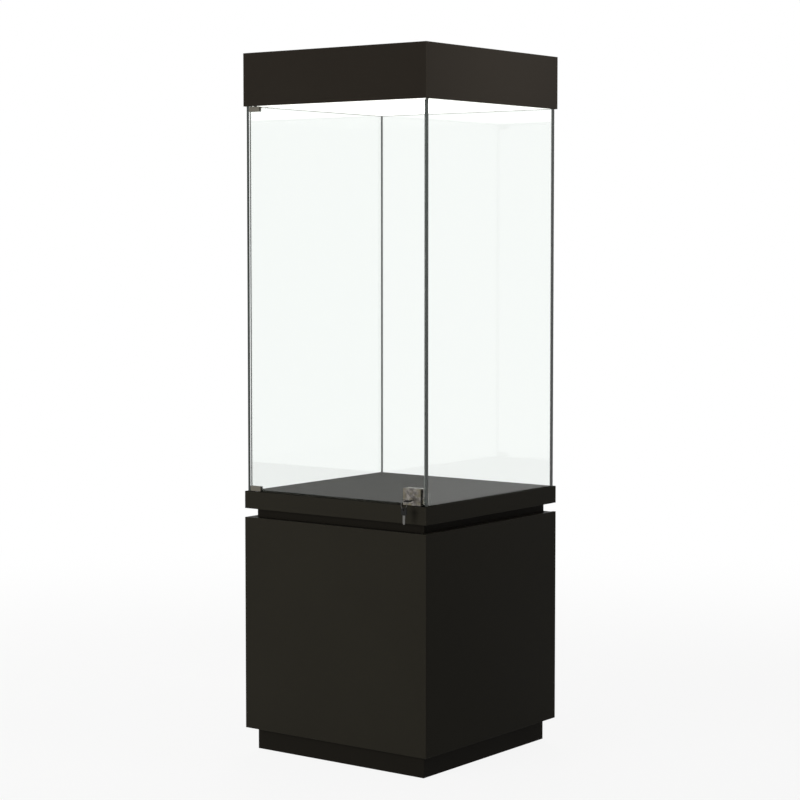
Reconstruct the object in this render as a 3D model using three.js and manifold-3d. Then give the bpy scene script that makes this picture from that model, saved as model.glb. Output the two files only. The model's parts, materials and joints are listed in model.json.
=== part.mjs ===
// A pedestal display case: a boxed base on a recessed plinth, a deck, a glass showcase whose front
// pane is a lockable pivot door, and a lit canopy. Millimetres, Z up from the floor, the front at -Y.
import * as THREE from 'three';
import * as BufferGeometryUtils from 'three/addons/utils/BufferGeometryUtils.js';
import Module from 'manifold-3d';

const wasm = await Module();
wasm.setup();

// Outside of the case, from the floor up.
const caseWidth = 600;
const caseDepth = 600;
const plinthHeight = 58;
const baseHeight = 570;
const revealHeight = 24;
const deckHeight = 46;
const sightHeight = 1022; // glass seen between the deck and the canopy
const canopyHeight = 140;
const plinthRecess = 24;
const revealRecess = 24;

// Boards of the plinth, the base box and the reveal.
const boardThickness = 18;
const crossRailWidth = 40;
const servicePanelThickness = 12;
const servicePanelGap = 1.5;
const rebateWidth = 9;

// Levelling feet, screwed through the floor panel.
const footInset = 35;
const footPadRadius = 20;
const footPadHeight = 6;
const footConeHeight = 4;
const footConeRadius = 10;
const footStemRadius = 5;
const footStandUp = 16;
const footClearance = 0.3;

// Deck: rails with a step that carries the fixed panes and the display board.
const deckRailWidth = 45;
const doorLandDepth = 30;
const seatDepth = 20;
const boardGap = 0.5;

// Glass.
const glassThickness = 8;
const glassInset = 6;
const grooveClearance = 0.5;
const bedGap = 0.5;
const siliconeWidth = 1;
const glassRise = 21.5; // how far the fixed panes go up into the canopy
const doorSideGap = 2.5;
const doorEndGap = 4;
const doorSealDepth = 3;
const doorSealClearance = 0.5;

// Pivot clamps, pins and bushes.
const clampWidth = 35;
const clampHeight = 13;
const clampDepth = 13;
const clampGap = 1.5;
const clampPad = 0.3;
const pinRadius = 4;
const pinLength = 14;
const studRadius = 2.5;
const bushRadius = 5.5;
const bushHeight = 16;
const runningClearance = 0.1;
const fitClearance = 0.3;

// Lock, measured from the axis of its plug.
const lockFromDoorEnd = 38.5;
const lockWidth = 55;
const lockHeight = 43;
const lockPlateThickness = 6.2;
const lockGap = 1.5;
const plugAboveBottom = 12.7;
const plugRadius = 7;
const plugProud = 1;
const plugLength = 20.5;
const blockWidth = 37;
const blockHeight = 30;
const blockWall = 2.1;
const notchClearance = 0.5;
const coverWall = 3.2;
const boltWidth = 18;
const boltThickness = 5;
const boltLength = 22;
const boltThrow = 8;
const boltRecess = 0.5;
const camPinRadius = 1.25;
const camPlay = 0.4;
const boltHoleMargin = 0.8;
const strikeEndMargin = 8;
const strikeSideMargin = 4;
const strikeThickness = 1.5;
const mortiseDepth = 14;

// Keys and their ring. A key lies flat with its blade along +Y, measured from the hole in its bow.
const bladeWidth = 7.5;
const bladeThickness = 2;
const bladeLength = 23.5;
const bladeTip = 3;
const bitDepth = 1;
const bitPitch = 3;
const bitCount = 4;
const bowWidth = 17;
const bowLength = 19;
const bowThickness = 3;
const bowCorner = 5;
const bowHoleRadius = 2.7;
const bowHoleInset = 5;
const keyInsertion = 17;
const ringRadius = 12.2;
const ringWireRadius = 0.75;
const ringTiltDeg = 57;
const ringHang = 0.2;

// Canopy: a folded sheet shell round four rails that cap the fixed panes.
const shellThickness = 2;
const shellGlassGap = 1;
const canopyRailWidth = 22;
const canopyRailHeight = 24;
const headRailDepth = 30;
const diffuserThickness = 3;
const diffuserRecess = 0.5;
const diffuserGap = 0.8;
const diffuserFrontInset = 3;
const trayHeight = 40;
const traySheet = 1.5;
const trayRailOverlap = 2.5;
const trayFrontGap = 6;
const trayRearGap = 12;
const ledBoardInset = 12;
const ledLeadGap = 3;
const ledBoardThickness = 1.6;

// Electrics in the base.
const driverLength = 160;
const driverWidth = 55;
const driverHeight = 32;
const driverFootGap = 20;
const inletDriverGap = 50;
const inletFlangeWidth = 50;
const inletFlangeHeight = 24;
const inletFlangeThickness = 2.5;
const inletBodyWidth = 27;
const inletBodyHeight = 20;
const inletBodyDepth = 22;
const inletRecess = 16;
const inletRecessWall = 2.5;
const inletPinWidth = 2;
const inletPinHeight = 4;
const inletPinSpread = 7;
const mainsLeadRadius = 3.2;
const mainsBendRadius = 10;
const leadRadius = 1.2;
const leadBendRadius = 6;
const leadFromWall = 34;
const leadPocketDepth = 17;
const leadPocketLift = 3; // of the lead above the pocket's floor
const leadHoleRadius = 4;
const leadClearance = 0.3;

// Steps of the round forms, and how far a cut or a join reaches past a face.
const roundSegments = 32;
const curveSegments = 8;
const leadSegments = 4; // for each half of a lead's section
const bendSteps = 4;
const ringSegments = 36;
const overcut = 1;

// Plane coordinates are rounded to this step, which 32-bit numbers hold exactly, so two faces
// that meet lie in one plane.
const snapStep = 1 / 64;
const snap = (value) => Math.round(value / snapStep) * snapStep;

// Levels and planes that several sub-parts share.
const baseLevel = snap(plinthHeight);
const revealLevel = snap(plinthHeight + baseHeight);
const deckLevel = snap(revealLevel + revealHeight + deckHeight);
const canopyLevel = snap(deckLevel + sightHeight);
const halfWidth = caseWidth / 2;
const halfDepth = caseDepth / 2;
const glassX = halfWidth - glassInset; // outer faces of the side panes
const glassY = halfDepth - glassInset; // outer faces of the door and the rear pane
const innerX = glassX - glassThickness;
const innerY = glassY - glassThickness;
const rightPaneFront = -innerY + doorSealDepth;
const landEdge = -halfDepth + doorLandDepth; // rear edge of the land under the door

// The door turns about the centre of its clamps.
const doorLeft = -innerX + doorSideGap;
const hingeX = snap(doorLeft + clampWidth / 2);
const hingeY = snap(-glassY + glassThickness / 2);

// The lock's plug, in the case's frame, and the pieces stacked behind its face.
const lockX = snap(glassX - lockFromDoorEnd);
const plugLevel = snap(deckLevel + lockGap + plugAboveBottom);
const halfGlass = glassThickness / 2;
const plateBack = -halfGlass - fitClearance;
const plateFront = plateBack - lockPlateThickness;
const plugFront = plateFront - plugProud;
const plugBack = plugFront + plugLength;
const boltFront = plugBack + 2 * fitClearance;
const boltBack = boltFront + boltThickness;
const blockBack = boltBack + fitClearance + blockWall;
const boltY = hingeY + (boltFront + boltBack) / 2;
const camRadius = boltThrow / Math.SQRT2; // a quarter turn about the level moves the bolt its throw
const camOffset = boltThrow / 2;

// The low-voltage lead runs up inside the rear left corner of the glass.
const leadCorner = leadRadius + leadClearance;
const leadX = -innerX + leadCorner;
const leadY = innerY - leadCorner;
const leadInX = -halfWidth + boardThickness + leadFromWall;
const leadInY = halfDepth - boardThickness - leadFromWall;

const finishes = {
  lacquer: { color: 0x2a2825, roughness: 0.45, metalness: 0 },
  darkPaint: { color: 0x24221f, roughness: 0.6, metalness: 0 },
  powderCoat: { color: 0x2c2925, roughness: 0.5, metalness: 0 },
  greyBoard: { color: 0x56544f, roughness: 0.9, metalness: 0 },
  rawBoard: { color: 0x8a7355, roughness: 0.85, metalness: 0 },
  glass: { color: 0xdfe9e4, roughness: 0.02, metalness: 0, transparent: true, opacity: 0.25 },
  silicone: { color: 0x30332f, roughness: 0.5, metalness: 0 },
  nickel: { color: 0x9a958b, roughness: 0.35, metalness: 1 },
  chrome: { color: 0xa7a29a, roughness: 0.2, metalness: 1 },
  steel: { color: 0x8f9194, roughness: 0.35, metalness: 1 },
  aluminium: { color: 0xa9abad, roughness: 0.45, metalness: 1 },
  blackPlastic: { color: 0x121212, roughness: 0.4, metalness: 0 },
  nylon: { color: 0xd8d6cf, roughness: 0.6, metalness: 0 },
  opal: { color: 0xffffff, roughness: 0.6, metalness: 0 },
  whitePaint: { color: 0xeeeeea, roughness: 0.7, metalness: 0 },
};

// Geometry helpers.

function placed(geometry, x, y, z) {
  geometry.translate(x, y, z);
  return geometry;
}

function boxOf(x, y, z) {
  const ends = [x, y, z].map((pair) => pair.map(snap));
  const sizes = ends.map(([a, b]) => Math.abs(b - a));
  return placed(new THREE.BoxGeometry(...sizes), ...ends.map(([a, b]) => (a + b) / 2));
}

function shapeOf(points) {
  return new THREE.Shape(points.map(([u, v]) => new THREE.Vector2(snap(u), snap(v))));
}

function extruded(shape, [low, high]) {
  const depth = snap(high) - snap(low);
  return new THREE.ExtrudeGeometry(shape, { depth, bevelEnabled: false, curveSegments });
}

function barAlongZ(shape, ends) {
  return placed(extruded(shape, ends), 0, 0, snap(ends[0]));
}

// The section's points are (y, z).
function barAlongX(points, ends) {
  const turn = new THREE.Matrix4().set(0, 0, 1, snap(ends[0]), 1, 0, 0, 0, 0, 1, 0, 0, 0, 0, 0, 1);
  return extruded(shapeOf(points), ends).applyMatrix4(turn);
}

// The section's points are (x, z).
function barAlongY(points, ends) {
  const turn = new THREE.Matrix4().set(1, 0, 0, 0, 0, 0, -1, snap(ends[1]), 0, 1, 0, 0, 0, 0, 0, 1);
  return extruded(shapeOf(points), ends).applyMatrix4(turn);
}

function rodAlongY(radius, [front, back], x = 0, z = 0) {
  const rod = new THREE.CylinderGeometry(radius, radius, back - front, roundSegments);
  return placed(rod, x, (front + back) / 2, z);
}

function rodAlongZ(radius, [low, high], x = 0, y = 0) {
  const rod = new THREE.CylinderGeometry(radius, radius, high - low, roundSegments).rotateX(Math.PI / 2);
  return placed(rod, x, y, (low + high) / 2);
}

// A profile of (radius, z) points turned about the Z axis.
function turned(profile) {
  const points = profile.map(([radius, z]) => new THREE.Vector2(radius, z));
  return new THREE.LatheGeometry(points, roundSegments).rotateX(Math.PI / 2);
}

function solidOf(geometry) {
  const bare = geometry.clone();
  bare.deleteAttribute('normal');
  bare.deleteAttribute('uv');
  const merged = BufferGeometryUtils.mergeVertices(bare, 1e-4);
  const vertProperties = new Float32Array(merged.attributes.position.array);
  const triVerts = new Uint32Array(merged.index.array);
  return new wasm.Manifold(new wasm.Mesh({ numProp: 3, vertProperties, triVerts }));
}

function geometryOf(solid) {
  const mesh = solid.getMesh();
  const geometry = new THREE.BufferGeometry();
  geometry.setAttribute('position', new THREE.BufferAttribute(mesh.vertProperties, 3));
  geometry.setIndex(new THREE.BufferAttribute(mesh.triVerts, 1));
  geometry.computeVertexNormals();
  return geometry;
}

function joined(...geometries) {
  return geometryOf(geometries.map(solidOf).reduce((whole, solid) => whole.add(solid)));
}

function cut(geometry, ...tools) {
  return geometryOf(tools.map(solidOf).reduce((rest, tool) => rest.subtract(tool), solidOf(geometry)));
}

function piece(name, finish, geometry) {
  const mesh = new THREE.Mesh(geometry, new THREE.MeshStandardMaterial(finishes[finish]));
  mesh.name = name;
  return mesh;
}

function groupAt(x, y, z, ...children) {
  const group = new THREE.Group();
  group.position.set(x, y, z);
  group.add(...children);
  return group;
}

// A lead's centre line: straight legs through the given corners, each corner rounded. Legs and
// bends get even steps, whatever their length.
class LeadRoute extends THREE.Curve {
  constructor(corners, bendRadius) {
    super();
    const stops = corners.map((corner) => new THREE.Vector3(...corner));
    this.points = [stops[0]];
    for (let i = 1; i < stops.length - 1; i += 1) {
      const before = stops[i - 1].clone().sub(stops[i]).setLength(bendRadius).add(stops[i]);
      const after = stops[i + 1].clone().sub(stops[i]).setLength(bendRadius).add(stops[i]);
      this.points.push(...new THREE.QuadraticBezierCurve3(before, stops[i], after).getPoints(bendSteps));
    }
    this.points.push(stops[stops.length - 1]);
  }

  getPoint(t, target = new THREE.Vector3()) {
    const along = THREE.MathUtils.clamp(t, 0, 1) * (this.points.length - 1);
    const leg = Math.min(Math.floor(along), this.points.length - 2);
    return target.lerpVectors(this.points[leg], this.points[leg + 1], along - leg);
  }

  getUtoTmapping(u) {
    return u;
  }
}

function leadAlong(corners, radius, bendRadius) {
  const route = new LeadRoute(corners, bendRadius);
  const section = new THREE.Shape();
  section.absarc(0, 0, radius, 0, 2 * Math.PI);
  const steps = route.points.length - 1;
  return new THREE.ExtrudeGeometry(section, { steps, extrudePath: route, curveSegments: leadSegments });
}

// Four boards in a ring: the front and rear ones run the full width.
function boardRing(prefix, finish, halfX, halfY, height) {
  const innerHalfX = halfX - boardThickness;
  const innerHalfY = halfY - boardThickness;
  return [
    piece(`${prefix}_front`, finish, boxOf([-halfX, halfX], [-halfY, -innerHalfY], [0, height])),
    piece(`${prefix}_rear`, finish, boxOf([-halfX, halfX], [innerHalfY, halfY], [0, height])),
    piece(`${prefix}_left`, finish, boxOf([-halfX, -innerHalfX], [-innerHalfY, innerHalfY], [0, height])),
    piece(`${prefix}_right`, finish, boxOf([innerHalfX, halfX], [-innerHalfY, innerHalfY], [0, height])),
  ];
}

// Plinth and levelling feet.

const footX = halfWidth - plinthRecess - boardThickness - footInset;
const footY = halfDepth - plinthRecess - boardThickness - footInset;
const footPlaces = [[-1, -1], [1, -1], [1, 1], [-1, 1]].map(([sx, sy]) => [sx * footX, sy * footY]);

function makePlinth() {
  const railHalf = halfWidth - plinthRecess - boardThickness;
  const railY = [-crossRailWidth / 2, crossRailWidth / 2];
  return [
    ...boardRing('plinth', 'darkPaint', halfWidth - plinthRecess, halfDepth - plinthRecess, baseLevel),
    piece('plinth_cross_rail', 'darkPaint', boxOf([-railHalf, railHalf], railY, [0, baseLevel])),
  ];
}

function makeFeet() {
  const coneTop = footPadHeight + footConeHeight;
  const stemTop = baseLevel + boardThickness + footStandUp;
  const profile = [
    [0, 0], [footPadRadius, 0], [footPadRadius, footPadHeight], [footConeRadius, coneTop],
    [footStemRadius, coneTop], [footStemRadius, stemTop], [0, stemTop],
  ];
  return footPlaces.map(([x, y], i) =>
    groupAt(x, y, 0, piece(`levelling_foot_${i + 1}`, 'steel', turned(profile))));
}

// Base box. Its front corners are mitred, and the service panel sits in a rebate at the rear.

const panelFront = halfDepth - servicePanelThickness;

function sidePanel(name, side) {
  const inner = halfWidth - boardThickness;
  const plan = [
    [halfWidth, -halfDepth], [halfWidth, halfDepth], [inner + rebateWidth, halfDepth],
    [inner + rebateWidth, panelFront], [inner, panelFront], [inner, -halfDepth + boardThickness],
  ].map(([x, y]) => [side * x, y]);
  return piece(name, 'lacquer', barAlongZ(shapeOf(plan), [0, baseHeight]));
}

function makeFloorPanel(x, y) {
  const holeRadius = footStemRadius + footClearance;
  const holes = footPlaces.map(([footPx, footPy]) =>
    rodAlongZ(holeRadius, [-overcut, boardThickness + overcut], footPx, footPy));
  return piece('base_floor_panel', 'rawBoard', cut(boxOf(x, y, [0, boardThickness]), ...holes));
}

function makeTopPanel(x, y) {
  const levels = [baseHeight - boardThickness, baseHeight];
  const hole = rodAlongZ(leadHoleRadius, [levels[0] - overcut, levels[1] + overcut], leadInX, leadInY);
  return piece('base_top_panel', 'darkPaint', cut(boxOf(x, y, levels), hole));
}

const driverLeft = -footX + footStemRadius + driverFootGap;
const driverRight = driverLeft + driverLength;
const inletX = driverRight + inletDriverGap;
const inletLevel = boardThickness + driverHeight / 2;

function makeServicePanel() {
  const half = halfWidth - boardThickness + rebateWidth - servicePanelGap;
  const levels = [servicePanelGap, baseHeight - servicePanelGap];
  const panel = boxOf([-half, half], [panelFront, halfDepth], levels);
  const through = [panelFront - overcut, halfDepth + overcut];
  const opening = inletBlock(inletBodyWidth, inletBodyHeight, through, fitClearance);
  const flangeY = [halfDepth - inletFlangeThickness, halfDepth + overcut];
  const rebate = inletBlock(inletFlangeWidth, inletFlangeHeight, flangeY, fitClearance);
  return piece('service_panel', 'lacquer', cut(panel, opening, rebate));
}

function inletBlock(width, height, y, clearance = 0) {
  const half = width / 2 + clearance;
  const rise = height / 2 + clearance;
  return boxOf([inletX - half, inletX + half], y, [inletLevel - rise, inletLevel + rise]);
}

// A recessed mains socket with three flat pins.
function makeInlet() {
  const flangeFront = halfDepth - inletFlangeThickness;
  const flange = inletBlock(inletFlangeWidth, inletFlangeHeight, [flangeFront, halfDepth]);
  const bodyFront = flangeFront - inletBodyDepth;
  const body = inletBlock(inletBodyWidth, inletBodyHeight, [bodyFront, halfDepth]);
  const recessFront = halfDepth - inletRecess;
  const recessWidth = inletBodyWidth - 2 * inletRecessWall;
  const recessHeight = inletBodyHeight - 2 * inletRecessWall;
  const recess = inletBlock(recessWidth, recessHeight, [recessFront, halfDepth + overcut]);
  const pins = [-1, 0, 1].map((place) => {
    const x = inletX + place * inletPinSpread;
    const z = inletLevel + (place === 0 ? 1 : -1) * inletPinHeight / 2;
    const halfPin = inletPinWidth / 2;
    const y = [recessFront - overcut, flangeFront];
    return boxOf([x - halfPin, x + halfPin], y, [z - inletPinHeight / 2, z + inletPinHeight / 2]);
  });
  return piece('mains_inlet', 'blackPlastic', joined(cut(joined(flange, body), recess), ...pins));
}

function makeDriver() {
  const y = [leadInY - driverWidth / 2, leadInY + driverWidth / 2];
  const z = [boardThickness, boardThickness + driverHeight];
  return piece('led_driver', 'aluminium', boxOf([driverLeft, driverRight], y, z));
}

function makeMainsLead() {
  const inletBack = halfDepth - inletFlangeThickness - inletBodyDepth - leadClearance;
  const corners = [
    [inletX, inletBack, inletLevel],
    [inletX, leadInY, inletLevel],
    [driverRight + leadClearance, leadInY, inletLevel],
  ];
  return piece('mains_lead', 'blackPlastic', leadAlong(corners, mainsLeadRadius, mainsBendRadius));
}

function makeBase() {
  const inner = halfWidth - boardThickness;
  const frontPlan = [
    [-halfWidth, -halfDepth], [halfWidth, -halfDepth],
    [inner, -halfDepth + boardThickness], [-inner, -halfDepth + boardThickness],
  ];
  const x = [-inner, inner];
  const y = [-halfDepth + boardThickness, panelFront];
  return [
    piece('base_front_panel', 'lacquer', barAlongZ(shapeOf(frontPlan), [0, baseHeight])),
    sidePanel('base_left_panel', -1),
    sidePanel('base_right_panel', 1),
    makeFloorPanel(x, y),
    makeTopPanel(x, y),
    makeServicePanel(),
    makeInlet(),
    makeDriver(),
    makeMainsLead(),
  ];
}

// Deck, measured down from its top face. The same cuts go through all four rails.

function grooveBox(x, y, z) {
  const c = grooveClearance;
  return boxOf([x[0] - c, x[1] + c], [y[0] - c, y[1] + c], z);
}

function paneGrooves(z, rearReach) {
  return [
    grooveBox([-glassX, -innerX], [-glassY, rearReach], z),
    grooveBox([innerX, glassX], [rightPaneFront, rearReach], z),
    grooveBox([-glassX, glassX], [innerY, glassY], z),
  ];
}

function boltHole(margin, z) {
  const halfX = boltWidth / 2 + margin;
  const halfY = boltThickness / 2 + margin;
  return boxOf([lockX - halfX, lockX + halfX], [boltY - halfY, boltY + halfY], z);
}

function strikeBox(margin, z) {
  const halfX = boltWidth / 2 + strikeEndMargin + margin;
  const halfY = boltThickness / 2 + strikeSideMargin + margin;
  return boxOf([lockX - halfX, lockX + halfX], [boltY - halfY, boltY + halfY], z);
}

function deckCuts() {
  const above = [-seatDepth, seatDepth];
  const boardPocket = boxOf([-innerX, innerX], [landEdge, glassY], above);
  const pocketX = [leadX - leadCorner, leadInX];
  const pocketY = [leadInY, leadY + leadCorner];
  return [
    boardPocket,
    ...paneGrooves(above, glassY),
    boxOf(pocketX, pocketY, [-seatDepth - leadPocketDepth, 0]),
    rodAlongZ(bushRadius + fitClearance, [-bushHeight - fitClearance, overcut], hingeX, hingeY),
    strikeBox(fitClearance, [-strikeThickness, overcut]),
    boltHole(boltHoleMargin, [-mortiseDepth, overcut]),
  ];
}

function makeDisplayBoard() {
  const x = [-innerX + boardGap, innerX - boardGap];
  const y = [landEdge + boardGap, innerY - boardGap];
  const notch = leadCorner + leadRadius + leadClearance;
  const notchX = [-innerX - overcut, -innerX + notch];
  const corner = boxOf(notchX, [innerY - notch, innerY + overcut], [-seatDepth - overcut, overcut]);
  return piece('display_board', 'greyBoard', cut(boxOf(x, y, [-seatDepth, 0]), corner));
}

function makeStrike() {
  const plate = cut(strikeBox(0, [-strikeThickness, 0]), boltHole(boltHoleMargin, [-seatDepth, overcut]));
  return piece('strike_plate', 'nickel', plate);
}

// A blind bush with its mouth at z = 0, opening upward (side 1) or downward (side -1).
function bush(name, side) {
  const bore = pinRadius + runningClearance;
  const boreDepth = pinLength + fitClearance;
  const profile = [
    [0, -bushHeight], [bushRadius, -bushHeight], [bushRadius, 0],
    [bore, 0], [bore, -boreDepth], [0, -boreDepth],
  ];
  const mesh = piece(name, 'nylon', turned(profile));
  mesh.rotation.x = side > 0 ? 0 : Math.PI;
  return mesh;
}

function makeDeck() {
  const z = [-deckHeight, 0];
  const sideX = halfWidth - deckRailWidth;
  const sideY = [-halfDepth + deckRailWidth, halfDepth - deckRailWidth];
  const width = [-halfWidth, halfWidth];
  const rail = (name, x, y) => piece(name, 'lacquer', cut(boxOf(x, y, z), ...deckCuts()));
  return [
    rail('deck_front_rail', width, [-halfDepth, sideY[0]]),
    rail('deck_rear_rail', width, [sideY[1], halfDepth]),
    rail('deck_left_rail', [-halfWidth, -sideX], sideY),
    rail('deck_right_rail', [sideX, halfWidth], sideY),
    makeDisplayBoard(),
    makeStrike(),
    groupAt(hingeX, hingeY, 0, bush('bottom_pivot_bush', 1)),
  ];
}

// Fixed glass, measured up from the deck's top face.

function makeFixedGlass() {
  const z = [-seatDepth + bedGap, sightHeight + glassRise];
  const rearHalf = innerX - siliconeWidth;
  const joint = (name, side) =>
    piece(name, 'silicone', boxOf([side * rearHalf, side * innerX], [innerY, glassY], [0, sightHeight]));
  const sealY = [-innerY + doorSealClearance, rightPaneFront];
  const sealZ = [0, sightHeight];
  return [
    piece('left_pane', 'glass', boxOf([-glassX, -innerX], [-glassY, glassY], z)),
    piece('right_pane', 'glass', boxOf([innerX, glassX], [rightPaneFront, glassY], z)),
    piece('rear_pane', 'glass', boxOf([-rearHalf, rearHalf], [innerY, glassY], z)),
    joint('silicone_joint_left', -1),
    joint('silicone_joint_right', 1),
    piece('door_stop_seal', 'silicone', boxOf([innerX, glassX], sealY, sealZ)),
  ];
}

// Door, measured from its turning axis and up from the deck's top face.

const lockInDoor = lockX - hingeX;
const lockBottom = lockGap - (plugLevel - deckLevel); // from the plug's axis

function makeDoorPane() {
  const x = [doorLeft - hingeX, glassX - hingeX];
  const pane = boxOf(x, [-halfGlass, halfGlass], [doorEndGap, sightHeight - doorEndGap]);
  const half = blockWidth / 2 + notchClearance;
  const notchTop = lockGap + blockHeight + notchClearance;
  const through = [-glassThickness, glassThickness];
  const notch = boxOf([lockInDoor - half, lockInDoor + half], through, [0, notchTop]);
  return piece('door_pane', 'glass', cut(pane, notch));
}

// A clamp wraps the pane's edge; side is -1 at the bottom edge and 1 at the top one. Its pin
// stands in the clamp's web on a thin stud.
function pivotClamp(prefix, side, edgeLevel) {
  const level = (rise) => edgeLevel - side * rise; // rise goes from the deck or canopy into the glass
  const outer = clampDepth / 2;
  const inner = halfGlass + clampPad;
  const webTop = doorEndGap - clampPad;
  const section = [
    [-outer, level(clampGap)], [outer, level(clampGap)], [outer, level(clampGap + clampHeight)],
    [inner, level(clampGap + clampHeight)], [inner, level(webTop)], [-inner, level(webTop)],
    [-inner, level(clampGap + clampHeight)], [-outer, level(clampGap + clampHeight)],
  ];
  const body = barAlongX(section, [-clampWidth / 2, clampWidth / 2]);
  const studEnds = [level(0), level(doorEndGap)].sort((a, b) => a - b);
  const studHole = rodAlongZ(studRadius + fitClearance, studEnds);
  const clamp = piece(`${prefix}_clamp`, 'nickel', cut(body, studHole));
  const shoulder = clampGap - fitClearance;
  const profile = [
    [0, -pinLength], [pinRadius, -pinLength], [pinRadius, shoulder],
    [studRadius, shoulder], [studRadius, webTop - fitClearance], [0, webTop - fitClearance],
  ];
  const pin = piece(`${prefix}_pivot_pin`, 'steel', turned(profile));
  pin.position.z = edgeLevel;
  pin.rotation.x = side > 0 ? Math.PI : 0;
  return [clamp, pin];
}

// Lock, measured from the plug's axis. X to the right, Y into the case.

function halfBox(half, y, z) {
  return boxOf([-half, half], y, z);
}

const boltBottom = lockBottom + boltRecess;
const boltTop = boltBottom + boltLength;

function makeLockBody() {
  const plate = halfBox(lockWidth / 2, [plateFront, plateBack], [lockBottom, lockBottom + lockHeight]);
  const blockLevels = [lockBottom, lockBottom + blockHeight];
  const block = halfBox(blockWidth / 2, [plateBack - overcut, blockBack], blockLevels);
  const bore = rodAlongY(plugRadius + runningClearance, [plateFront - overcut, boltFront]);
  const channelHalf = boltWidth / 2 + fitClearance;
  const channelY = [boltFront - fitClearance, boltBack + fitClearance];
  const channel = halfBox(channelHalf, channelY, [lockBottom - overcut, boltTop + fitClearance]);
  return piece('lock_body', 'chrome', cut(joined(plate, block), bore, channel));
}

function makeLockCover() {
  const front = halfGlass + fitClearance;
  const levels = [lockBottom, lockBottom + lockHeight];
  const outer = halfBox(lockWidth / 2, [front, blockBack + fitClearance + coverWall], levels);
  const cavityHalf = blockWidth / 2 + fitClearance;
  const cavityTop = lockBottom + blockHeight + fitClearance;
  const cavityY = [front - overcut, blockBack + fitClearance];
  const cavity = halfBox(cavityHalf, cavityY, [lockBottom - overcut, cavityTop]);
  return piece('lock_rear_cover', 'chrome', cut(outer, cavity));
}

function makePlug() {
  const camBack = boltBack - fitClearance;
  const cam = rodAlongY(camPinRadius, [plugBack - overcut, camBack], camOffset, camOffset);
  const slotHalf = bladeWidth / 2 + fitClearance;
  const slotRise = bladeThickness / 2 + fitClearance;
  const slotY = [plugFront - overcut, plugFront + keyInsertion + fitClearance];
  const keyway = halfBox(slotHalf, slotY, [-slotRise, slotRise]);
  const plug = joined(rodAlongY(plugRadius, [plugFront, plugBack]), cam);
  return piece('lock_plug', 'chrome', cut(plug, keyway));
}

// The cam pin swings through the slot as the plug turns and drives the bolt up and down.
function makeBolt() {
  const body = halfBox(boltWidth / 2, [boltFront, boltBack], [boltBottom, boltTop]);
  const slotX = [camOffset - camPinRadius - camPlay, camRadius + camPinRadius + camPlay];
  const slotHalf = camPinRadius + camPlay;
  const through = [boltFront - overcut, boltBack + overcut];
  const slot = boxOf(slotX, through, [camOffset - slotHalf, camOffset + slotHalf]);
  return piece('lock_bolt', 'steel', cut(body, slot));
}

// Keys, measured from the hole in the bow.

const bowFront = -bowHoleInset;
const bowBack = bowFront + bowLength;

function bladeGeometry() {
  const half = bladeWidth / 2;
  const end = bowBack + bladeLength;
  const points = [[-half, bowBack], [half, bowBack]];
  for (let i = 0; i < bitCount; i += 1) {
    const at = end - bladeTip - (bitCount - i) * bitPitch;
    points.push([half, at], [half - bitDepth, at + bitPitch / 2]);
  }
  points.push([half, end - bladeTip], [half - bladeTip, end]);
  points.push([-half + bladeTip, end], [-half, end - bladeTip]);
  return barAlongZ(shapeOf(points), [-bladeThickness / 2, bladeThickness / 2]);
}

function bowGeometry() {
  const half = bowWidth / 2;
  const r = bowCorner;
  const outline = new THREE.Shape();
  outline.absarc(half - r, bowFront + r, r, -Math.PI / 2, 0);
  outline.absarc(half - r, bowBack - r, r, 0, Math.PI / 2);
  outline.absarc(-half + r, bowBack - r, r, Math.PI / 2, Math.PI);
  outline.absarc(-half + r, bowFront + r, r, Math.PI, 1.5 * Math.PI);
  const hole = new THREE.Path();
  hole.absarc(0, 0, bowHoleRadius, 0, 2 * Math.PI);
  outline.holes.push(hole);
  return barAlongZ(outline, [-bowThickness / 2, bowThickness / 2]);
}

function makeKey(prefix) {
  return [
    piece(`${prefix}_blade`, 'steel', bladeGeometry()),
    piece(`${prefix}_bow`, 'blackPlastic', bowGeometry()),
  ];
}

// The ring threads the bow's hole at a slant and hangs beyond the bow's end.
const ringTilt = THREE.MathUtils.degToRad(ringTiltDeg);
const bowHoleY = plugFront + keyInsertion - bladeLength - bowBack;
const ringY = bowHoleY - ringRadius * Math.sin(ringTilt);
const ringZ = -ringRadius * Math.cos(ringTilt);
const spareHoleZ = ringZ - ringRadius - (bowHoleRadius - ringWireRadius - ringHang);

function makeRing() {
  const torus = new THREE.TorusGeometry(ringRadius, ringWireRadius, curveSegments, ringSegments);
  const ring = piece('key_ring', 'steel', torus);
  ring.rotation.y = Math.PI / 2;
  ring.position.set(0, ringY, ringZ);
  return ring;
}

function makeSpareKey() {
  const spare = groupAt(0, ringY, spareHoleZ, ...makeKey('spare_key'));
  spare.rotation.x = -Math.PI / 2;
  return spare;
}

function makeDoor() {
  const lock = groupAt(
    lockInDoor, 0, plugLevel - deckLevel,
    makeLockBody(), makeLockCover(), makePlug(), makeBolt(),
    groupAt(0, bowHoleY, 0, ...makeKey('key')), makeRing(), makeSpareKey(),
  );
  return [makeDoorPane(), ...pivotClamp('bottom', -1, 0), ...pivotClamp('top', 1, sightHeight), lock];
}

// Canopy, measured up from its lower edge.

const railTop = shellThickness + canopyRailHeight;
const diffuserTop = diffuserRecess + diffuserThickness;

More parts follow.
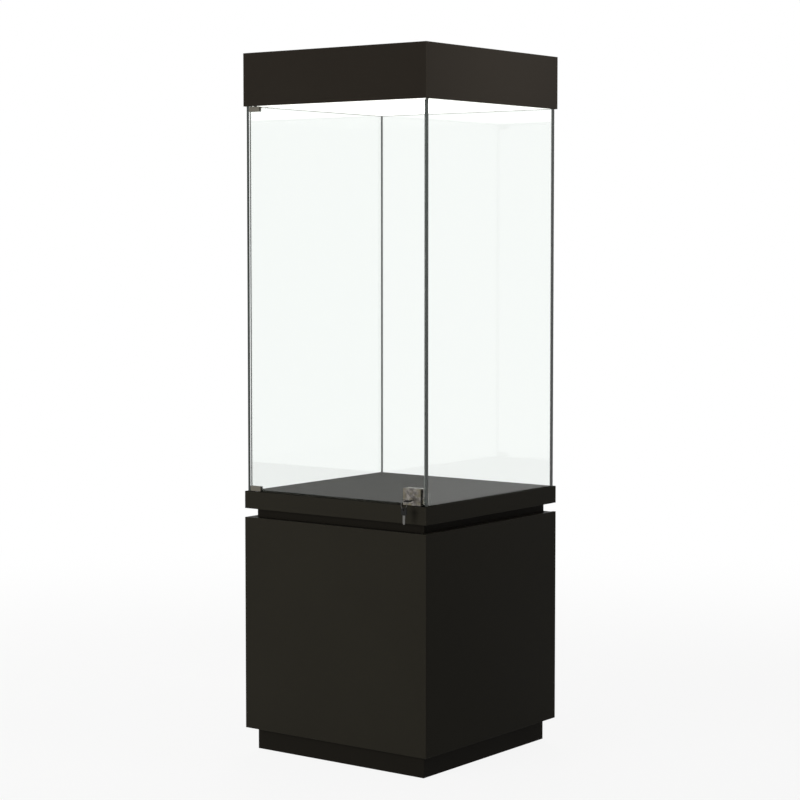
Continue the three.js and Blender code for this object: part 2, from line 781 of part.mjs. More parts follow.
function makeShell() {
  const opening = glassInset - shellGlassGap;
  const outer = boxOf([-halfWidth, halfWidth], [-halfDepth, halfDepth], [0, canopyHeight]);
  const x = halfWidth - shellThickness;
  const y = halfDepth - shellThickness;
  const hollow = boxOf([-x, x], [-y, y], [shellThickness, canopyHeight - shellThickness]);
  const mouthX = halfWidth - opening;
  const mouthY = halfDepth - opening;
  const mouth = boxOf([-mouthX, mouthX], [-mouthY, mouthY], [-overcut, shellThickness + overcut]);
  return piece('canopy_shell', 'powderCoat', cut(outer, hollow, mouth));
}

function diffuserBox(gap, z) {
  const x = innerX - gap;
  return boxOf([-x, x], [-innerY + diffuserFrontInset + gap, innerY - gap], z);
}

function leadPassage(z) {
  const reach = leadCorner + leadRadius + leadClearance;
  return boxOf([-innerX, -innerX + reach], [innerY - reach, innerY], z);
}

function makeCanopyRails() {
  const z = [shellThickness, railTop];
  const outerX = halfWidth - shellThickness;
  const outerY = halfDepth - shellThickness;
  const sideX = outerX - canopyRailWidth;
  const sideY = [-outerY + headRailDepth, outerY - canopyRailWidth];
  const cuts = [
    ...paneGrooves([-overcut, glassRise + bedGap], glassY),
    diffuserBox(boardGap, [-overcut, diffuserTop]),
    leadPassage([-overcut, railTop + overcut]),
    rodAlongZ(bushRadius + fitClearance, [0, shellThickness + bushHeight + fitClearance], hingeX, hingeY),
  ];
  const rail = (name, x, y) => piece(name, 'aluminium', cut(boxOf(x, y, z), ...cuts));
  return [
    rail('head_rail', [-outerX, outerX], [-outerY, sideY[0]]),
    rail('glass_rail_rear', [-outerX, outerX], [sideY[1], outerY]),
    rail('glass_rail_left', [-outerX, -sideX], sideY),
    rail('glass_rail_right', [sideX, outerX], sideY),
  ];
}

function makeDiffuser() {
  const plate = diffuserBox(diffuserGap, [diffuserRecess, diffuserTop]);
  return piece('diffuser', 'opal', cut(plate, leadPassage([-overcut, diffuserTop + overcut])));
}

function makeLightTray() {
  const outer = halfWidth - shellThickness - canopyRailWidth + trayRailOverlap;
  const inner = outer - traySheet;
  const top = railTop + trayHeight;
  const section = [
    [-outer, railTop], [-outer, top], [outer, top], [outer, railTop],
    [inner, railTop], [inner, top - traySheet], [-inner, top - traySheet], [-inner, railTop],
  ];
  const y = [
    -halfDepth + shellThickness + headRailDepth + trayFrontGap,
    halfDepth - shellThickness - canopyRailWidth - trayRearGap,
  ];
  const leadReach = leadRadius + ledLeadGap; // the board ends short of the lead beside it
  const boardX = -leadInX - leadReach;
  const boardZ = [top - traySheet - ledBoardThickness, top - traySheet];
  const board = boxOf([-boardX, boardX], [y[0] + ledBoardInset, leadInY - leadReach], boardZ);
  return [
    piece('led_tray', 'whitePaint', barAlongY(section, y)),
    piece('led_board', 'whitePaint', board),
  ];
}

function makeCanopy() {
  return [
    makeShell(),
    ...makeCanopyRails(),
    groupAt(hingeX, hingeY, shellThickness, bush('top_pivot_bush', -1)),
    makeDiffuser(),
    ...makeLightTray(),
  ];
}

// The low-voltage lead, in the case's frame: from the driver up into the deck, out to the glass
// corner, up to the canopy and in to the light.
function makeLowVoltageLead() {
  const start = baseLevel + inletLevel;
  const deckRun = deckLevel - seatDepth - leadPocketDepth + leadPocketLift;
  const canopyRun = canopyLevel + railTop + leadBendRadius;
  const end = canopyLevel + railTop + trayHeight - traySheet - leadClearance;
  const corners = [
    [driverLeft - leadClearance, leadInY, start],
    [leadInX, leadInY, start],
    [leadInX, leadInY, deckRun],
    [leadX, leadY, deckRun],
    [leadX, leadY, canopyRun],
    [leadInX, leadInY, canopyRun],
    [leadInX, leadInY, end],
  ];
  return piece('low_voltage_lead', 'blackPlastic', leadAlong(corners, leadRadius, leadBendRadius));
}

const ringHalfX = halfWidth - revealRecess;
const ringHalfY = halfDepth - revealRecess;

const displayCase = new THREE.Group();
displayCase.add(
  groupAt(0, 0, 0, ...makePlinth(), ...makeFeet()),
  groupAt(0, 0, baseLevel, ...makeBase()),
  groupAt(0, 0, revealLevel, ...boardRing('reveal', 'darkPaint', ringHalfX, ringHalfY, revealHeight)),
  groupAt(0, 0, deckLevel, ...makeDeck(), ...makeFixedGlass()),
  groupAt(hingeX, hingeY, deckLevel, ...makeDoor()),
  groupAt(0, 0, canopyLevel, ...makeCanopy()),
  makeLowVoltageLead(),
);

export default displayCase;
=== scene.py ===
"""The looks of a lit pedestal display case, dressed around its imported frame.

Lengths are metres unless a name ends in _mm. +Z is up, and the door side faces -Y.
"""
from __future__ import annotations

import json
import logging
import math
from collections.abc import Iterable, Sequence
from dataclasses import dataclass, field
from enum import Enum

import bmesh
import bpy
from mathutils import Matrix, Vector


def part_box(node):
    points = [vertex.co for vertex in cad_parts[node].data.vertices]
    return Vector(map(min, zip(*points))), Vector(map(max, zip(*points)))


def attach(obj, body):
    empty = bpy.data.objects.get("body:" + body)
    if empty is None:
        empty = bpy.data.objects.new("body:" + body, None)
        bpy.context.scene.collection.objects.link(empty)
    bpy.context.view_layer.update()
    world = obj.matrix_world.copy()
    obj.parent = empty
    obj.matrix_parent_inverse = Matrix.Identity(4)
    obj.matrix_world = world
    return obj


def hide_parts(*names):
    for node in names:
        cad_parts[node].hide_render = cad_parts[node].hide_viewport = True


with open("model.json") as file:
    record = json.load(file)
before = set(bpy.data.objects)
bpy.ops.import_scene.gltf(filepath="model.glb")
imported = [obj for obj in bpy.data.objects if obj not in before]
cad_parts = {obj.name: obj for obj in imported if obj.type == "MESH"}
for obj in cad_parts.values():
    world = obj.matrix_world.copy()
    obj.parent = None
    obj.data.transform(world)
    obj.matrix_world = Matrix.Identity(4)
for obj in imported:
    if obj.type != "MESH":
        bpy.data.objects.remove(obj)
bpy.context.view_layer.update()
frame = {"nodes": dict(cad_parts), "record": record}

log = logging.getLogger("display_case")

MM = 0.001
WELD = 1e-6  # metres within which two corners of a CAD mesh are one
FLAT_ANGLE = math.radians(0.5)  # faces that meet at less are one flat face
SHARP_ANGLE = math.radians(28)  # edges that turn further are eased, and shade sharp
ROUNDING_ANGLE = math.radians(50)  # the same limit inside a rounding, whose steps shade as one
SQUARE_ON = 0.99  # cosine above which a face counts as square to an axis
FACING_UP = 0.9  # upward share of a face's normal above which it counts as a top
FINE_STEPS = 3  # faces across a rounding whose curve shows
ARRIS = "arris"  # a face's share of wear: 1 on the narrow strips that ease an edge

BODY_OF = {
    node: body
    for body, nodes in frame["record"]["behaviour"]["bodies"].items()
    for node in nodes
}


# Colours and shader nodes.


def linear(hex_colour: str) -> tuple[float, float, float, float]:
    """Turns an sRGB hex colour to linear light.

    Args:
        hex_colour: The colour, such as #2a2825.

    Returns:
        Linear red, green and blue, and an alpha of 1.
    """
    channels = [int(hex_colour[i:i + 2], 16) / 255 for i in (1, 3, 5)]
    red, green, blue = [c / 12.92 if c <= 0.04045 else ((c + 0.055) / 1.055) ** 2.4 for c in channels]
    return red, green, blue, 1.0


def add(
    tree: bpy.types.NodeTree, kind: str, links: dict[int | str, object] | None = None, **settings: object
) -> bpy.types.Node:
    """Adds a node with its settings and links.

    Args:
        tree: The tree that the node goes into.
        kind: The node's type name.
        links: For each input, the socket that feeds it or its plain value.
        **settings: The node's own properties.

    Returns:
        The new node.
    """
    node = tree.nodes.new(kind)
    for name, value in settings.items():
        setattr(node, name, value)
    for key, value in (links or {}).items():
        if isinstance(value, bpy.types.NodeSocket):
            tree.links.new(value, node.inputs[key])
        else:
            node.inputs[key].default_value = value
    return node


MIX_A, MIX_B, MIX_RESULT = 6, 7, 2  # a Mix node's colour sockets


class Grain(Enum):
    """The axis that a brushed or ground surface's lines follow."""

    X = 0
    Y = 1
    Z = 2


@dataclass(frozen=True)
class Mottle:
    """A noise pattern.

    Attributes:
        width_mm: The width of its patches.
        detail: The number of finer layers on them.
    """

    width_mm: float
    detail: float

    def at(self, place: bpy.types.NodeSocket) -> dict[str, object]:
        """Returns the inputs of a noise node that draws the pattern over a place."""
        return {"Vector": place, "Scale": 1 / (self.width_mm * MM), "Detail": self.detail}


@dataclass(frozen=True)
class Lines:
    """Fine lines that run along one axis.

    Attributes:
        width_mm: A line's width.
        length_mm: Its length.
        depth_mm: Its depth.
        detail: The number of finer layers on it.
    """

    width_mm: float
    length_mm: float
    depth_mm: float
    detail: float = 2.0

    def stretch(self, place: bpy.types.NodeSocket, grain: Grain) -> dict[str, object]:
        """Returns the inputs of a Mapping node after which one unit is one line along the grain."""
        across, along = 1 / (self.width_mm * MM), 1 / (self.length_mm * MM)
        return {"Vector": place, "Scale": [along if axis == grain.value else across for axis in range(3)]}


@dataclass(frozen=True)
class Finish:
    """A surface finish that makes one material.

    Attributes:
        name: The material's name.
    """

    name: str

    def material(self) -> bpy.types.Material:
        """Finds the finish's material, or makes it on its first use.

        Returns:
            The material.
        """
        found = bpy.data.materials.get(self.name)
        if found is None:
            found = bpy.data.materials.new(self.name)
            found.use_nodes = True
            found.node_tree.nodes.clear()
            place = add(found.node_tree, "ShaderNodeTexCoord").outputs["Object"]
            self.dress(found.node_tree, place)
        return found

    def dress(self, tree: bpy.types.NodeTree, place: bpy.types.NodeSocket) -> None:
        """Fills the material's tree, from the Object coordinates on."""
        raise NotImplementedError

    def close(
        self, tree: bpy.types.NodeTree, relief: bpy.types.NodeSocket, depth_mm: float,
        inputs: dict[str, object],
    ) -> None:
        """Ends a material with one shader whose face a relief raises.

        Args:
            tree: The material's tree.
            relief: The relief's height.
            depth_mm: Its full depth.
            inputs: The shader's other inputs.
        """
        skin = add(tree, "ShaderNodeBump", {"Height": relief, "Distance": depth_mm * MM}).outputs[0]
        shader = add(tree, "ShaderNodeBsdfPrincipled", {**inputs, "Normal": skin}).outputs[0]
        add(tree, "ShaderNodeOutputMaterial", {"Surface": shader})


@dataclass(frozen=True)
class SprayedCoat(Finish):
    """Lacquer, paint or powder sprayed on board or sheet.

    The eye gets an even face whose tone and gloss drift slowly over a skin of fine waves. The arrises,
    where a coat pulls thin and hands rub it, take a worn colour.
    """

    colour: str
    cloud_colour: str
    worn_colour: str
    roughness: float
    specular: float
    wave: Mottle
    wave_depth_mm: float
    cloud: Mottle = Mottle(260.0, 4.0)
    rub: Mottle = Mottle(14.0, 3.0)
    gloss_drift: float = 0.07

    def dress(self, tree: bpy.types.NodeTree, place: bpy.types.NodeSocket) -> None:
        """Mixes the coat's tone, wears its arrises and bumps its skin.

        Args:
            tree: The material's tree.
            place: The Object coordinates.
        """
        cloud = add(tree, "ShaderNodeTexNoise", self.cloud.at(place)).outputs["Fac"]
        wave = add(tree, "ShaderNodeTexNoise", self.wave.at(place)).outputs["Fac"]
        rub = add(tree, "ShaderNodeTexNoise", self.rub.at(place)).outputs["Fac"]
        arris = add(tree, "ShaderNodeAttribute", attribute_name=ARRIS).outputs["Fac"]
        worn = add(tree, "ShaderNodeMath", {0: arris, 1: rub}, operation="MULTIPLY").outputs[0]
        tones = {0: cloud, MIX_A: linear(self.colour), MIX_B: linear(self.cloud_colour)}
        tone = add(tree, "ShaderNodeMix", tones, data_type="RGBA").outputs[MIX_RESULT]
        worn_tones = {0: worn, MIX_A: tone, MIX_B: linear(self.worn_colour)}
        rubbed = add(tree, "ShaderNodeMix", worn_tones, data_type="RGBA").outputs[MIX_RESULT]
        matt, bright = self.roughness + self.gloss_drift, self.roughness - self.gloss_drift
        gloss = add(tree, "ShaderNodeMapRange", {"Value": cloud, "To Min": bright, "To Max": matt}).outputs[0]
        inputs = {"Base Color": rubbed, "Roughness": gloss, "Specular IOR Level": self.specular}
        self.close(tree, wave, self.wave_depth_mm, inputs)


@dataclass(frozen=True)
class MattLaminate(Finish):
    """Pressed laminate or board with a dry, finely flecked face, which keeps glare off the exhibit.

    The real grit is finer, and is drawn coarser so that it shows in a close view.
    """

    colour: str
    fleck_colour: str
    roughness: float
    specular: float
    fleck: Mottle = Mottle(1.6, 2.0)
    cloud: Mottle = Mottle(180.0, 3.0)
    grit: Mottle = Mottle(0.9, 2.0)
    grit_depth_mm: float = 0.02

    def dress(self, tree: bpy.types.NodeTree, place: bpy.types.NodeSocket) -> None:
        """Flecks the colour, more in some clouds than in others, and bumps the face with its grit.

        Args:
            tree: The material's tree.
            place: The Object coordinates.
        """
        fleck = add(tree, "ShaderNodeTexNoise", self.fleck.at(place)).outputs["Fac"]
        cloud = add(tree, "ShaderNodeTexNoise", self.cloud.at(place)).outputs["Fac"]
        grit = add(tree, "ShaderNodeTexNoise", self.grit.at(place)).outputs["Fac"]
        share = add(tree, "ShaderNodeMath", {0: fleck, 1: cloud}, operation="MULTIPLY").outputs[0]
        tones = {0: share, MIX_A: linear(self.colour), MIX_B: linear(self.fleck_colour)}
        tone = add(tree, "ShaderNodeMix", tones, data_type="RGBA").outputs[MIX_RESULT]
        inputs = {"Base Color": tone, "Roughness": self.roughness, "Specular IOR Level": self.specular}
        self.close(tree, grit, self.grit_depth_mm, inputs)


@dataclass(frozen=True)
class FloatGlass(Finish):
    """Clear float glass: iron in the melt turns it green along the long way through, at its edges.

    Attributes:
        held_colour: What a metre of it keeps of white light, at density 1.
        density: How strongly its depth takes light.
        lamp_colour: What a lamp keeps through one pane.
        haze: The patches in which wiping leaves a faint smear.
        haze_start: The noise level where a smear starts.
        haze_full: The noise level where it is full.
    """

    held_colour: str
    density: float
    lamp_colour: str
    ior: float = 1.5
    haze: Mottle = Mottle(90.0, 3.0)
    haze_start: float = 0.55
    haze_full: float = 0.9
    haze_roughness: float = 0.02

    def dress(self, tree: bpy.types.NodeTree, place: bpy.types.NodeSocket) -> None:
        """Makes clear glass that takes its green from its own depth and lets lamps through.

        Args:
            tree: The material's tree.
            place: The Object coordinates.
        """
        smear = add(tree, "ShaderNodeTexNoise", self.haze.at(place)).outputs["Fac"]
        haze = add(
            tree, "ShaderNodeMapRange",
            {"Value": smear, "From Min": self.haze_start, "From Max": self.haze_full,
             "To Max": self.haze_roughness},
        ).outputs[0]
        body = add(
            tree, "ShaderNodeBsdfPrincipled",
            {"Base Color": linear("#ffffff"), "Roughness": haze, "IOR": self.ior, "Transmission Weight": 1.0},
        ).outputs[0]
        lamp = add(tree, "ShaderNodeBsdfTransparent", {"Color": linear(self.lamp_colour)}).outputs[0]
        shadow = add(tree, "ShaderNodeLightPath").outputs["Is Shadow Ray"]
        pane = add(tree, "ShaderNodeMixShader", {0: shadow, 1: body, 2: lamp}).outputs[0]
        taken = {"Color": linear(self.held_colour), "Density": self.density}
        depth = add(tree, "ShaderNodeVolumeAbsorption", taken).outputs[0]
        add(tree, "ShaderNodeOutputMaterial", {"Surface": pane, "Volume": depth})


@dataclass(frozen=True)
class GroundEdge(Finish):
    """The ground and polished edge of a pane, where the glass shows its depth as a dark green.

    The grinding wheel's real lines are finer, and are drawn wider so that they show in a close view.
    """

    colour: str
    shallow_colour: str
    roughness: float
    grind: Lines = Lines(0.6, 30.0, 0.008)
    drift: Mottle = Mottle(120.0, 3.0)

    def dress(self, tree: bpy.types.NodeTree, place: bpy.types.NodeSocket) -> None:
        """Streaks the edge along its height, as the grinding wheel runs.

        Args:
            tree: The material's tree.
            place: The Object coordinates.
        """
        drawn = add(tree, "ShaderNodeMapping", self.grind.stretch(place, Grain.Z)).outputs[0]
        streaks = {"Vector": drawn, "Scale": 1.0, "Detail": self.grind.detail}
        streak = add(tree, "ShaderNodeTexNoise", streaks).outputs["Fac"]
        drift = add(tree, "ShaderNodeTexNoise", self.drift.at(place)).outputs["Fac"]
        tones = {0: drift, MIX_A: linear(self.colour), MIX_B: linear(self.shallow_colour)}
        tone = add(tree, "ShaderNodeMix", tones, data_type="RGBA").outputs[MIX_RESULT]
        self.close(tree, streak, self.grind.depth_mm, {"Base Color": tone, "Roughness": self.roughness})


@dataclass(frozen=True)
class BrushedMetal(Finish):
    """Drawn or brushed metal, which draws a highlight out across its fine scratches.

    The real scratches are finer, and are drawn wider so that they show in a close view.
    """

    colour: str
    dull_colour: str
    roughness: float
    grain: Grain
    scratch: Lines = Lines(0.35, 18.0, 0.006)
    patch: Mottle = Mottle(22.0, 3.0)
    gloss_drift: float = 0.08

    def dress(self, tree: bpy.types.NodeTree, place: bpy.types.NodeSocket) -> None:
        """Scratches the metal along its grain and dulls it in soft patches.

        Args:
            tree: The material's tree.
            place: The Object coordinates.
        """
        drawn = add(tree, "ShaderNodeMapping", self.scratch.stretch(place, self.grain)).outputs[0]
        scratches = {"Vector": drawn, "Scale": 1.0, "Detail": self.scratch.detail}
        scratch = add(tree, "ShaderNodeTexNoise", scratches).outputs["Fac"]
        patch = add(tree, "ShaderNodeTexNoise", self.patch.at(place)).outputs["Fac"]
        tones = {0: patch, MIX_A: linear(self.colour), MIX_B: linear(self.dull_colour)}
        tone = add(tree, "ShaderNodeMix", tones, data_type="RGBA").outputs[MIX_RESULT]
        matt, bright = self.roughness + self.gloss_drift, self.roughness - self.gloss_drift
        shine = {"Value": scratch, "To Min": bright, "To Max": matt}
        gloss = add(tree, "ShaderNodeMapRange", shine).outputs[0]
        inputs = {"Base Color": tone, "Metallic": 1.0, "Roughness": gloss}
        self.close(tree, scratch, self.scratch.depth_mm, inputs)


@dataclass(frozen=True)
class ReflectionPaintedPlating(Finish):
    """Chrome plate on a die casting: dark tones with bright, dull and warm patches, a painted reflection of
    its surroundings.

    The real pits are finer, and are drawn coarser so that they show in a close view.

    Attributes:
        dull_from, dull_to: The noise levels between which the plate turns dull: darker, as painted
            reflection, and rougher.
        warm_from, warm_to: The noise levels between which it takes the warm colour of a painted reflection.
        warm_shift: What moves the painted warm reflections off the dull patches.
        shine: How far the bright plate's roughness lies below the middle one.
        tarnish: How far the dull plate's lies above it.
    """

    # The plate's colours are painted reflection: they are dark for the dim surroundings it reflects, and
    # their patches paint the mottle of those surroundings.
    bright_reflection_colour: str
    dull_colour: str
    warm_reflection_colour: str
    roughness: float
    dull: Mottle = Mottle(9.0, 2.0)
    dull_from: float = 0.3
    dull_to: float = 0.7
    warm: Mottle = Mottle(16.2, 1.0)
    warm_from: float = 0.4
    warm_to: float = 0.75
    warm_shift: tuple[float, float, float] = (0.7, 0.3, 0.9)
    shine: float = 0.1
    tarnish: float = 0.12
    pit: Mottle = Mottle(0.8, 3.0)
    pit_depth_mm: float = 0.003

    def dress(self, tree: bpy.types.NodeTree, place: bpy.types.NodeSocket) -> None:
        """Lays the dull and warm patches of painted reflection over the bright plate, and pits it.

        Args:
            tree: The material's tree.
            place: The Object coordinates.
        """
        shifted = add(tree, "ShaderNodeMapping", {"Vector": place, "Location": self.warm_shift}).outputs[0]
        patches = [
            (self.dull.at(place), self.dull_from, self.dull_to),
            (self.warm.at(shifted), self.warm_from, self.warm_to),
        ]
        dull, warm = [
            add(
                tree, "ShaderNodeMapRange",
                {"Value": add(tree, "ShaderNodeTexNoise", noise).outputs["Fac"], "From Min": start,
                 "From Max": full},
                interpolation_type="SMOOTHSTEP",
            ).outputs[0]
            for noise, start, full in patches
        ]
        plates = {0: dull, MIX_A: linear(self.bright_reflection_colour), MIX_B: linear(self.dull_colour)}
        plate = add(tree, "ShaderNodeMix", plates, data_type="RGBA").outputs[MIX_RESULT]
        tones = {0: warm, MIX_A: plate, MIX_B: linear(self.warm_reflection_colour)}
        tone = add(tree, "ShaderNodeMix", tones, data_type="RGBA").outputs[MIX_RESULT]
        matt, bright = self.roughness + self.tarnish, self.roughness - self.shine
        gloss = add(tree, "ShaderNodeMapRange", {"Value": dull, "To Min": bright, "To Max": matt}).outputs[0]
        pit = add(tree, "ShaderNodeTexNoise", self.pit.at(place)).outputs["Fac"]
        self.close(tree, pit, self.pit_depth_mm, {"Base Color": tone, "Metallic": 1.0, "Roughness": gloss})


@dataclass(frozen=True)
class MouldedPlastic(Finish):
    """Moulded plastic, whose tool leaves a fine eroded grain that softens its shine.

    The real grain is finer, and is drawn coarser so that it shows in a close view.

    Attributes:
        scuff_from, scuff_to: The noise levels between which a scuff sets in.
        scuff_share: How far a full scuff turns the colour.
    """

    colour: str
    scuff_colour: str
    roughness: float
    specular: float = 0.5
    transmission: float = 0.0
    scuff: Mottle = Mottle(7.0, 4.0)
    scuff_from: float = 0.5
    scuff_to: float = 0.8
    scuff_share: float = 0.5
    grain: Mottle = Mottle(0.5, 2.0)
    grain_depth_mm: float = 0.01

    def dress(self, tree: bpy.types.NodeTree, place: bpy.types.NodeSocket) -> None:
        """Grains the moulding and scuffs it in patches.

        Args:
            tree: The material's tree.
            place: The Object coordinates.
        """
        patch = add(tree, "ShaderNodeTexNoise", self.scuff.at(place)).outputs["Fac"]
        scuff = add(
            tree, "ShaderNodeMapRange",
            {"Value": patch, "From Min": self.scuff_from, "From Max": self.scuff_to,
             "To Max": self.scuff_share},
        ).outputs[0]
        tones = {0: scuff, MIX_A: linear(self.colour), MIX_B: linear(self.scuff_colour)}
        tone = add(tree, "ShaderNodeMix", tones, data_type="RGBA").outputs[MIX_RESULT]
        grain = add(tree, "ShaderNodeTexNoise", self.grain.at(place)).outputs["Fac"]
        inputs = {
            "Base Color": tone, "Roughness": self.roughness, "Specular IOR Level": self.specular,
            "Transmission Weight": self.transmission,
        }
        self.close(tree, grain, self.grain_depth_mm, inputs)


@dataclass(frozen=True)
class LitOpal(Finish):
    """Opal acrylic with rows of LEDs behind it: it glows in its middle and fades towards its rim.

    Attributes:
        strength: The glow's strength, where 1 shows as its colour.
        half_width_mm: From the plate's middle to its rim.
        fade_mm: The width of the strip that fades.
    """

    colour: str
    glow_colour: str
    rim_colour: str
    strength: float
    roughness: float = 0.35
    half_width_mm: float = 285.0
    fade_mm: float = 70.0

    def dress(self, tree: bpy.types.NodeTree, place: bpy.types.NodeSocket) -> None:
        """Makes the plate glow, brighter in its middle than at its rim.

        Args:
            tree: The material's tree.
            place: The Object coordinates.
        """
        reach = add(tree, "ShaderNodeVectorMath", {0: place}, operation="ABSOLUTE").outputs[0]
        along = add(tree, "ShaderNodeSeparateXYZ", {0: reach}).outputs
        away = add(tree, "ShaderNodeMath", {0: along[0], 1: along[1]}, operation="MAXIMUM").outputs[0]
        start, end = (self.half_width_mm - self.fade_mm) * MM, self.half_width_mm * MM
        rim = add(tree, "ShaderNodeMapRange", {"Value": away, "From Min": start, "From Max": end}).outputs[0]
        tones = {0: rim, MIX_A: linear(self.glow_colour), MIX_B: linear(self.rim_colour)}
        glow = add(tree, "ShaderNodeMix", tones, data_type="RGBA").outputs[MIX_RESULT]
        plate = add(
            tree, "ShaderNodeBsdfPrincipled",
            {"Base Color": linear(self.colour), "Roughness": self.roughness, "Emission Color": glow,
             "Emission Strength": self.strength},
        ).outputs[0]
        add(tree, "ShaderNodeOutputMaterial", {"Surface": plate})


# The case's finishes. The blacks' specular levels are low, because the white surround greys them otherwise.

# Satin lacquer sprayed on board: a warm near-black with shallow waves that barely shine.
LACQUER = SprayedCoat(
    "satin_lacquer_on_board", "#25231e", "#292721", "#3c3a34", roughness=0.42, specular=0.018,
    wave=Mottle(3.0, 1.5), wave_depth_mm=0.01,
)
# Matt paint sprayed on the set-back boards: darker and drier, so that they sink into shadow.
PAINT = SprayedCoat(
    "matt_paint_on_board", "#191713", "#1d1b17", "#2c2924", roughness=0.62, specular=0.03,
    wave=Mottle(1.6, 1.5), wave_depth_mm=0.03,
)
# Powder baked on sheet steel: a tight pebbled skin, a little browner than the lacquer.
POWDER_COAT = SprayedCoat(
    "satin_powder_coat_on_steel", "#24201b", "#28241f", "#3b3831", roughness=0.5, specular=0.04,
    wave=Mottle(0.9, 1.5), wave_depth_mm=0.02,
)
# Pressed laminate: a flat charcoal that takes the case's light without a glint.
LAMINATE = MattLaminate("matt_laminate", "#2c2a27", "#363430", roughness=0.75, specular=0.0)
# Fibreboard under clear sealer: brown with paler fibres, seen from below alone.
FIBREBOARD = MattLaminate(
    "sealed_fibreboard", "#86704f", "#9a8363", roughness=0.8, specular=0.3, fleck=Mottle(2.4, 2.0),
    grit_depth_mm=0.05,
)
# Float glass: clear face on, pale green where the eye looks along it.
GLASS = FloatGlass("clear_float_glass", held_colour="#38b77a", density=4.5, lamp_colour="#eef5f1")
# Ground glass edge: a dark green line that frames each pane.
GLASS_EDGE = GroundEdge("ground_glass_edge", "#141a17", "#25302b", roughness=0.25)
# Brushed nickel plate: a soft warm grey with level lines.
NICKEL = BrushedMetal("satin_nickel", "#77736a", "#68645b", roughness=0.34, grain=Grain.X)
# Cold-drawn steel: a cooler grey with lines along the pins, the bolt and the feet.
STEEL = BrushedMetal("drawn_steel", "#75767a", "#626467", roughness=0.32, grain=Grain.Z)
# Milled steel: lines along the key in the lock, where the cutter ran.
KEY_STEEL = BrushedMetal("milled_key_steel", "#72716e", "#62615f", roughness=0.3, grain=Grain.Y)
# Extruded aluminium: pale, with the die's lines along the front and rear rails.
ALUMINIUM = BrushedMetal("extruded_aluminium", "#a9abad", "#9b9da0", roughness=0.42, grain=Grain.X)
# Chrome plate with painted reflection: dark tones and bright, dull and warm patches paint the mottled
# surroundings that the lock reflects, and break up its reflection of the studio.
PLATING = ReflectionPaintedPlating("chrome_plate_painted_reflection", "#8b8781", "#5f5b59", "#6f6a5a", roughness=0.36)
# Moulded black plastic: a dry black on the key bows, the inlet and the leads.
BLACK_PLASTIC = MouldedPlastic("black_moulded_plastic", "#0f0f0e", "#1c1b1a", roughness=0.45, specular=0.2)
# Turned nylon: a waxy off-white on the pivots' bushes, which the LED chips share.
NYLON = MouldedPlastic("natural_nylon", "#d8d6cf", "#c6c3ba", roughness=0.55)
# Extruded seal: half clear, so that it hardly shows between door and pane.
SEAL = MouldedPlastic("translucent_seal", "#6d706b", "#7b7e79", roughness=0.35, transmission=0.4)
# Tooled silicone: a dark, faintly shiny line in the rear corners.
SILICONE = MouldedPlastic("dark_silicone", "#30332f", "#3c3f3b", roughness=0.4)
# Cast opal acrylic, lit from behind: a white glow that fades towards its rim.
OPAL = LitOpal("lit_opal_acrylic", "#f4f4f0", "#fffefa", "#9b9a95", strength=2.2)
# White paint on the tray and the board behind the diffuser: a flat white with a fine skin.
WHITE_PAINT = SprayedCoat(
    "white_reflector_paint", "#eeeeea", "#e8e8e3", "#d9d9d4", roughness=0.6, specular=0.4,
    wave=Mottle(1.2, 1.5), wave_depth_mm=0.02,
)


# Shapes taken from the CAD nodes, with their edges eased.


def outline_of(node: str) -> bmesh.types.BMesh:
    """Copies a CAD node's shape, merged and with each flat face whole.

    Args:
        node: The CAD node.

    Returns:
        The copy.
    """
    shape = bmesh.new()
    shape.from_mesh(frame["nodes"][node].data)
    bmesh.ops.remove_doubles(shape, verts=shape.verts, dist=WELD)
    bmesh.ops.dissolve_limit(shape, angle_limit=FLAT_ANGLE, verts=shape.verts, edges=shape.edges)
    return shape


def within(point: Vector, box: tuple[Vector, Vector], margin: float) -> bool:
    """True if a point lies in a box that is grown by a margin."""
    low, high = box
    return all(low[i] - margin <= point[i] <= high[i] + margin for i in range(3))


def ease_edges(shape: bmesh.types.BMesh, width: float, mates: Iterable[str] = (), steps: int = 2) -> None:
    """Rounds a shape's outer edges, apart from those that meet a neighbour flush.

    Args:
        shape: The shape, which is changed.
        width: How far the rounding reaches in from an edge.
        mates: The CAD nodes that the shape meets flush.
        steps: The faces across one rounding.
    """
    wear = shape.faces.layers.float.new(ARRIS)
    boxes = [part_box(mate) for mate in mates]
    edges = [
        edge
        for edge in shape.edges
        if len(edge.link_faces) == 2
        and edge.is_convex
        and edge.calc_face_angle() > SHARP_ANGLE
        and not any(all(within(corner.co, box, WELD) for corner in edge.verts) for box in boxes)
    ]
    eased = bmesh.ops.bevel(
        shape, geom=edges, offset=width, offset_type="OFFSET", segments=steps, profile=0.5, affect="EDGES",
        clamp_overlap=True,
    )
    for face in eased["faces"]:
        face[wear] = 1.0
    for face in shape.faces:
        face.smooth = True
    for edge in shape.edges:
        sides = edge.link_faces
        alike = len(sides) == 2 and sides[0][wear] == sides[1][wear]
        edge.smooth = alike and edge.calc_face_angle() < (ROUNDING_ANGLE if sides[0][wear] else SHARP_ANGLE)


def mesh_from(shape: bmesh.types.BMesh, name: str) -> bpy.types.Mesh:
    """Turns a finished shape to a mesh and frees it.

    Args:
        shape: The shape.
        name: The mesh's name.

    Returns:
        The mesh.
    """
    mesh = bpy.data.meshes.new(name)
    shape.to_mesh(mesh)
    shape.free()
    return mesh


def add_object(name: str, data: bpy.types.ID) -> bpy.types.Object:
    """Puts a mesh, lamp or camera into the scene.

    Args:
        name: The object's name.
        data: What it shows.

    Returns:
        The object.
    """
    thing = bpy.data.objects.new(name, data)
    bpy.context.scene.collection.objects.link(thing)
    return thing


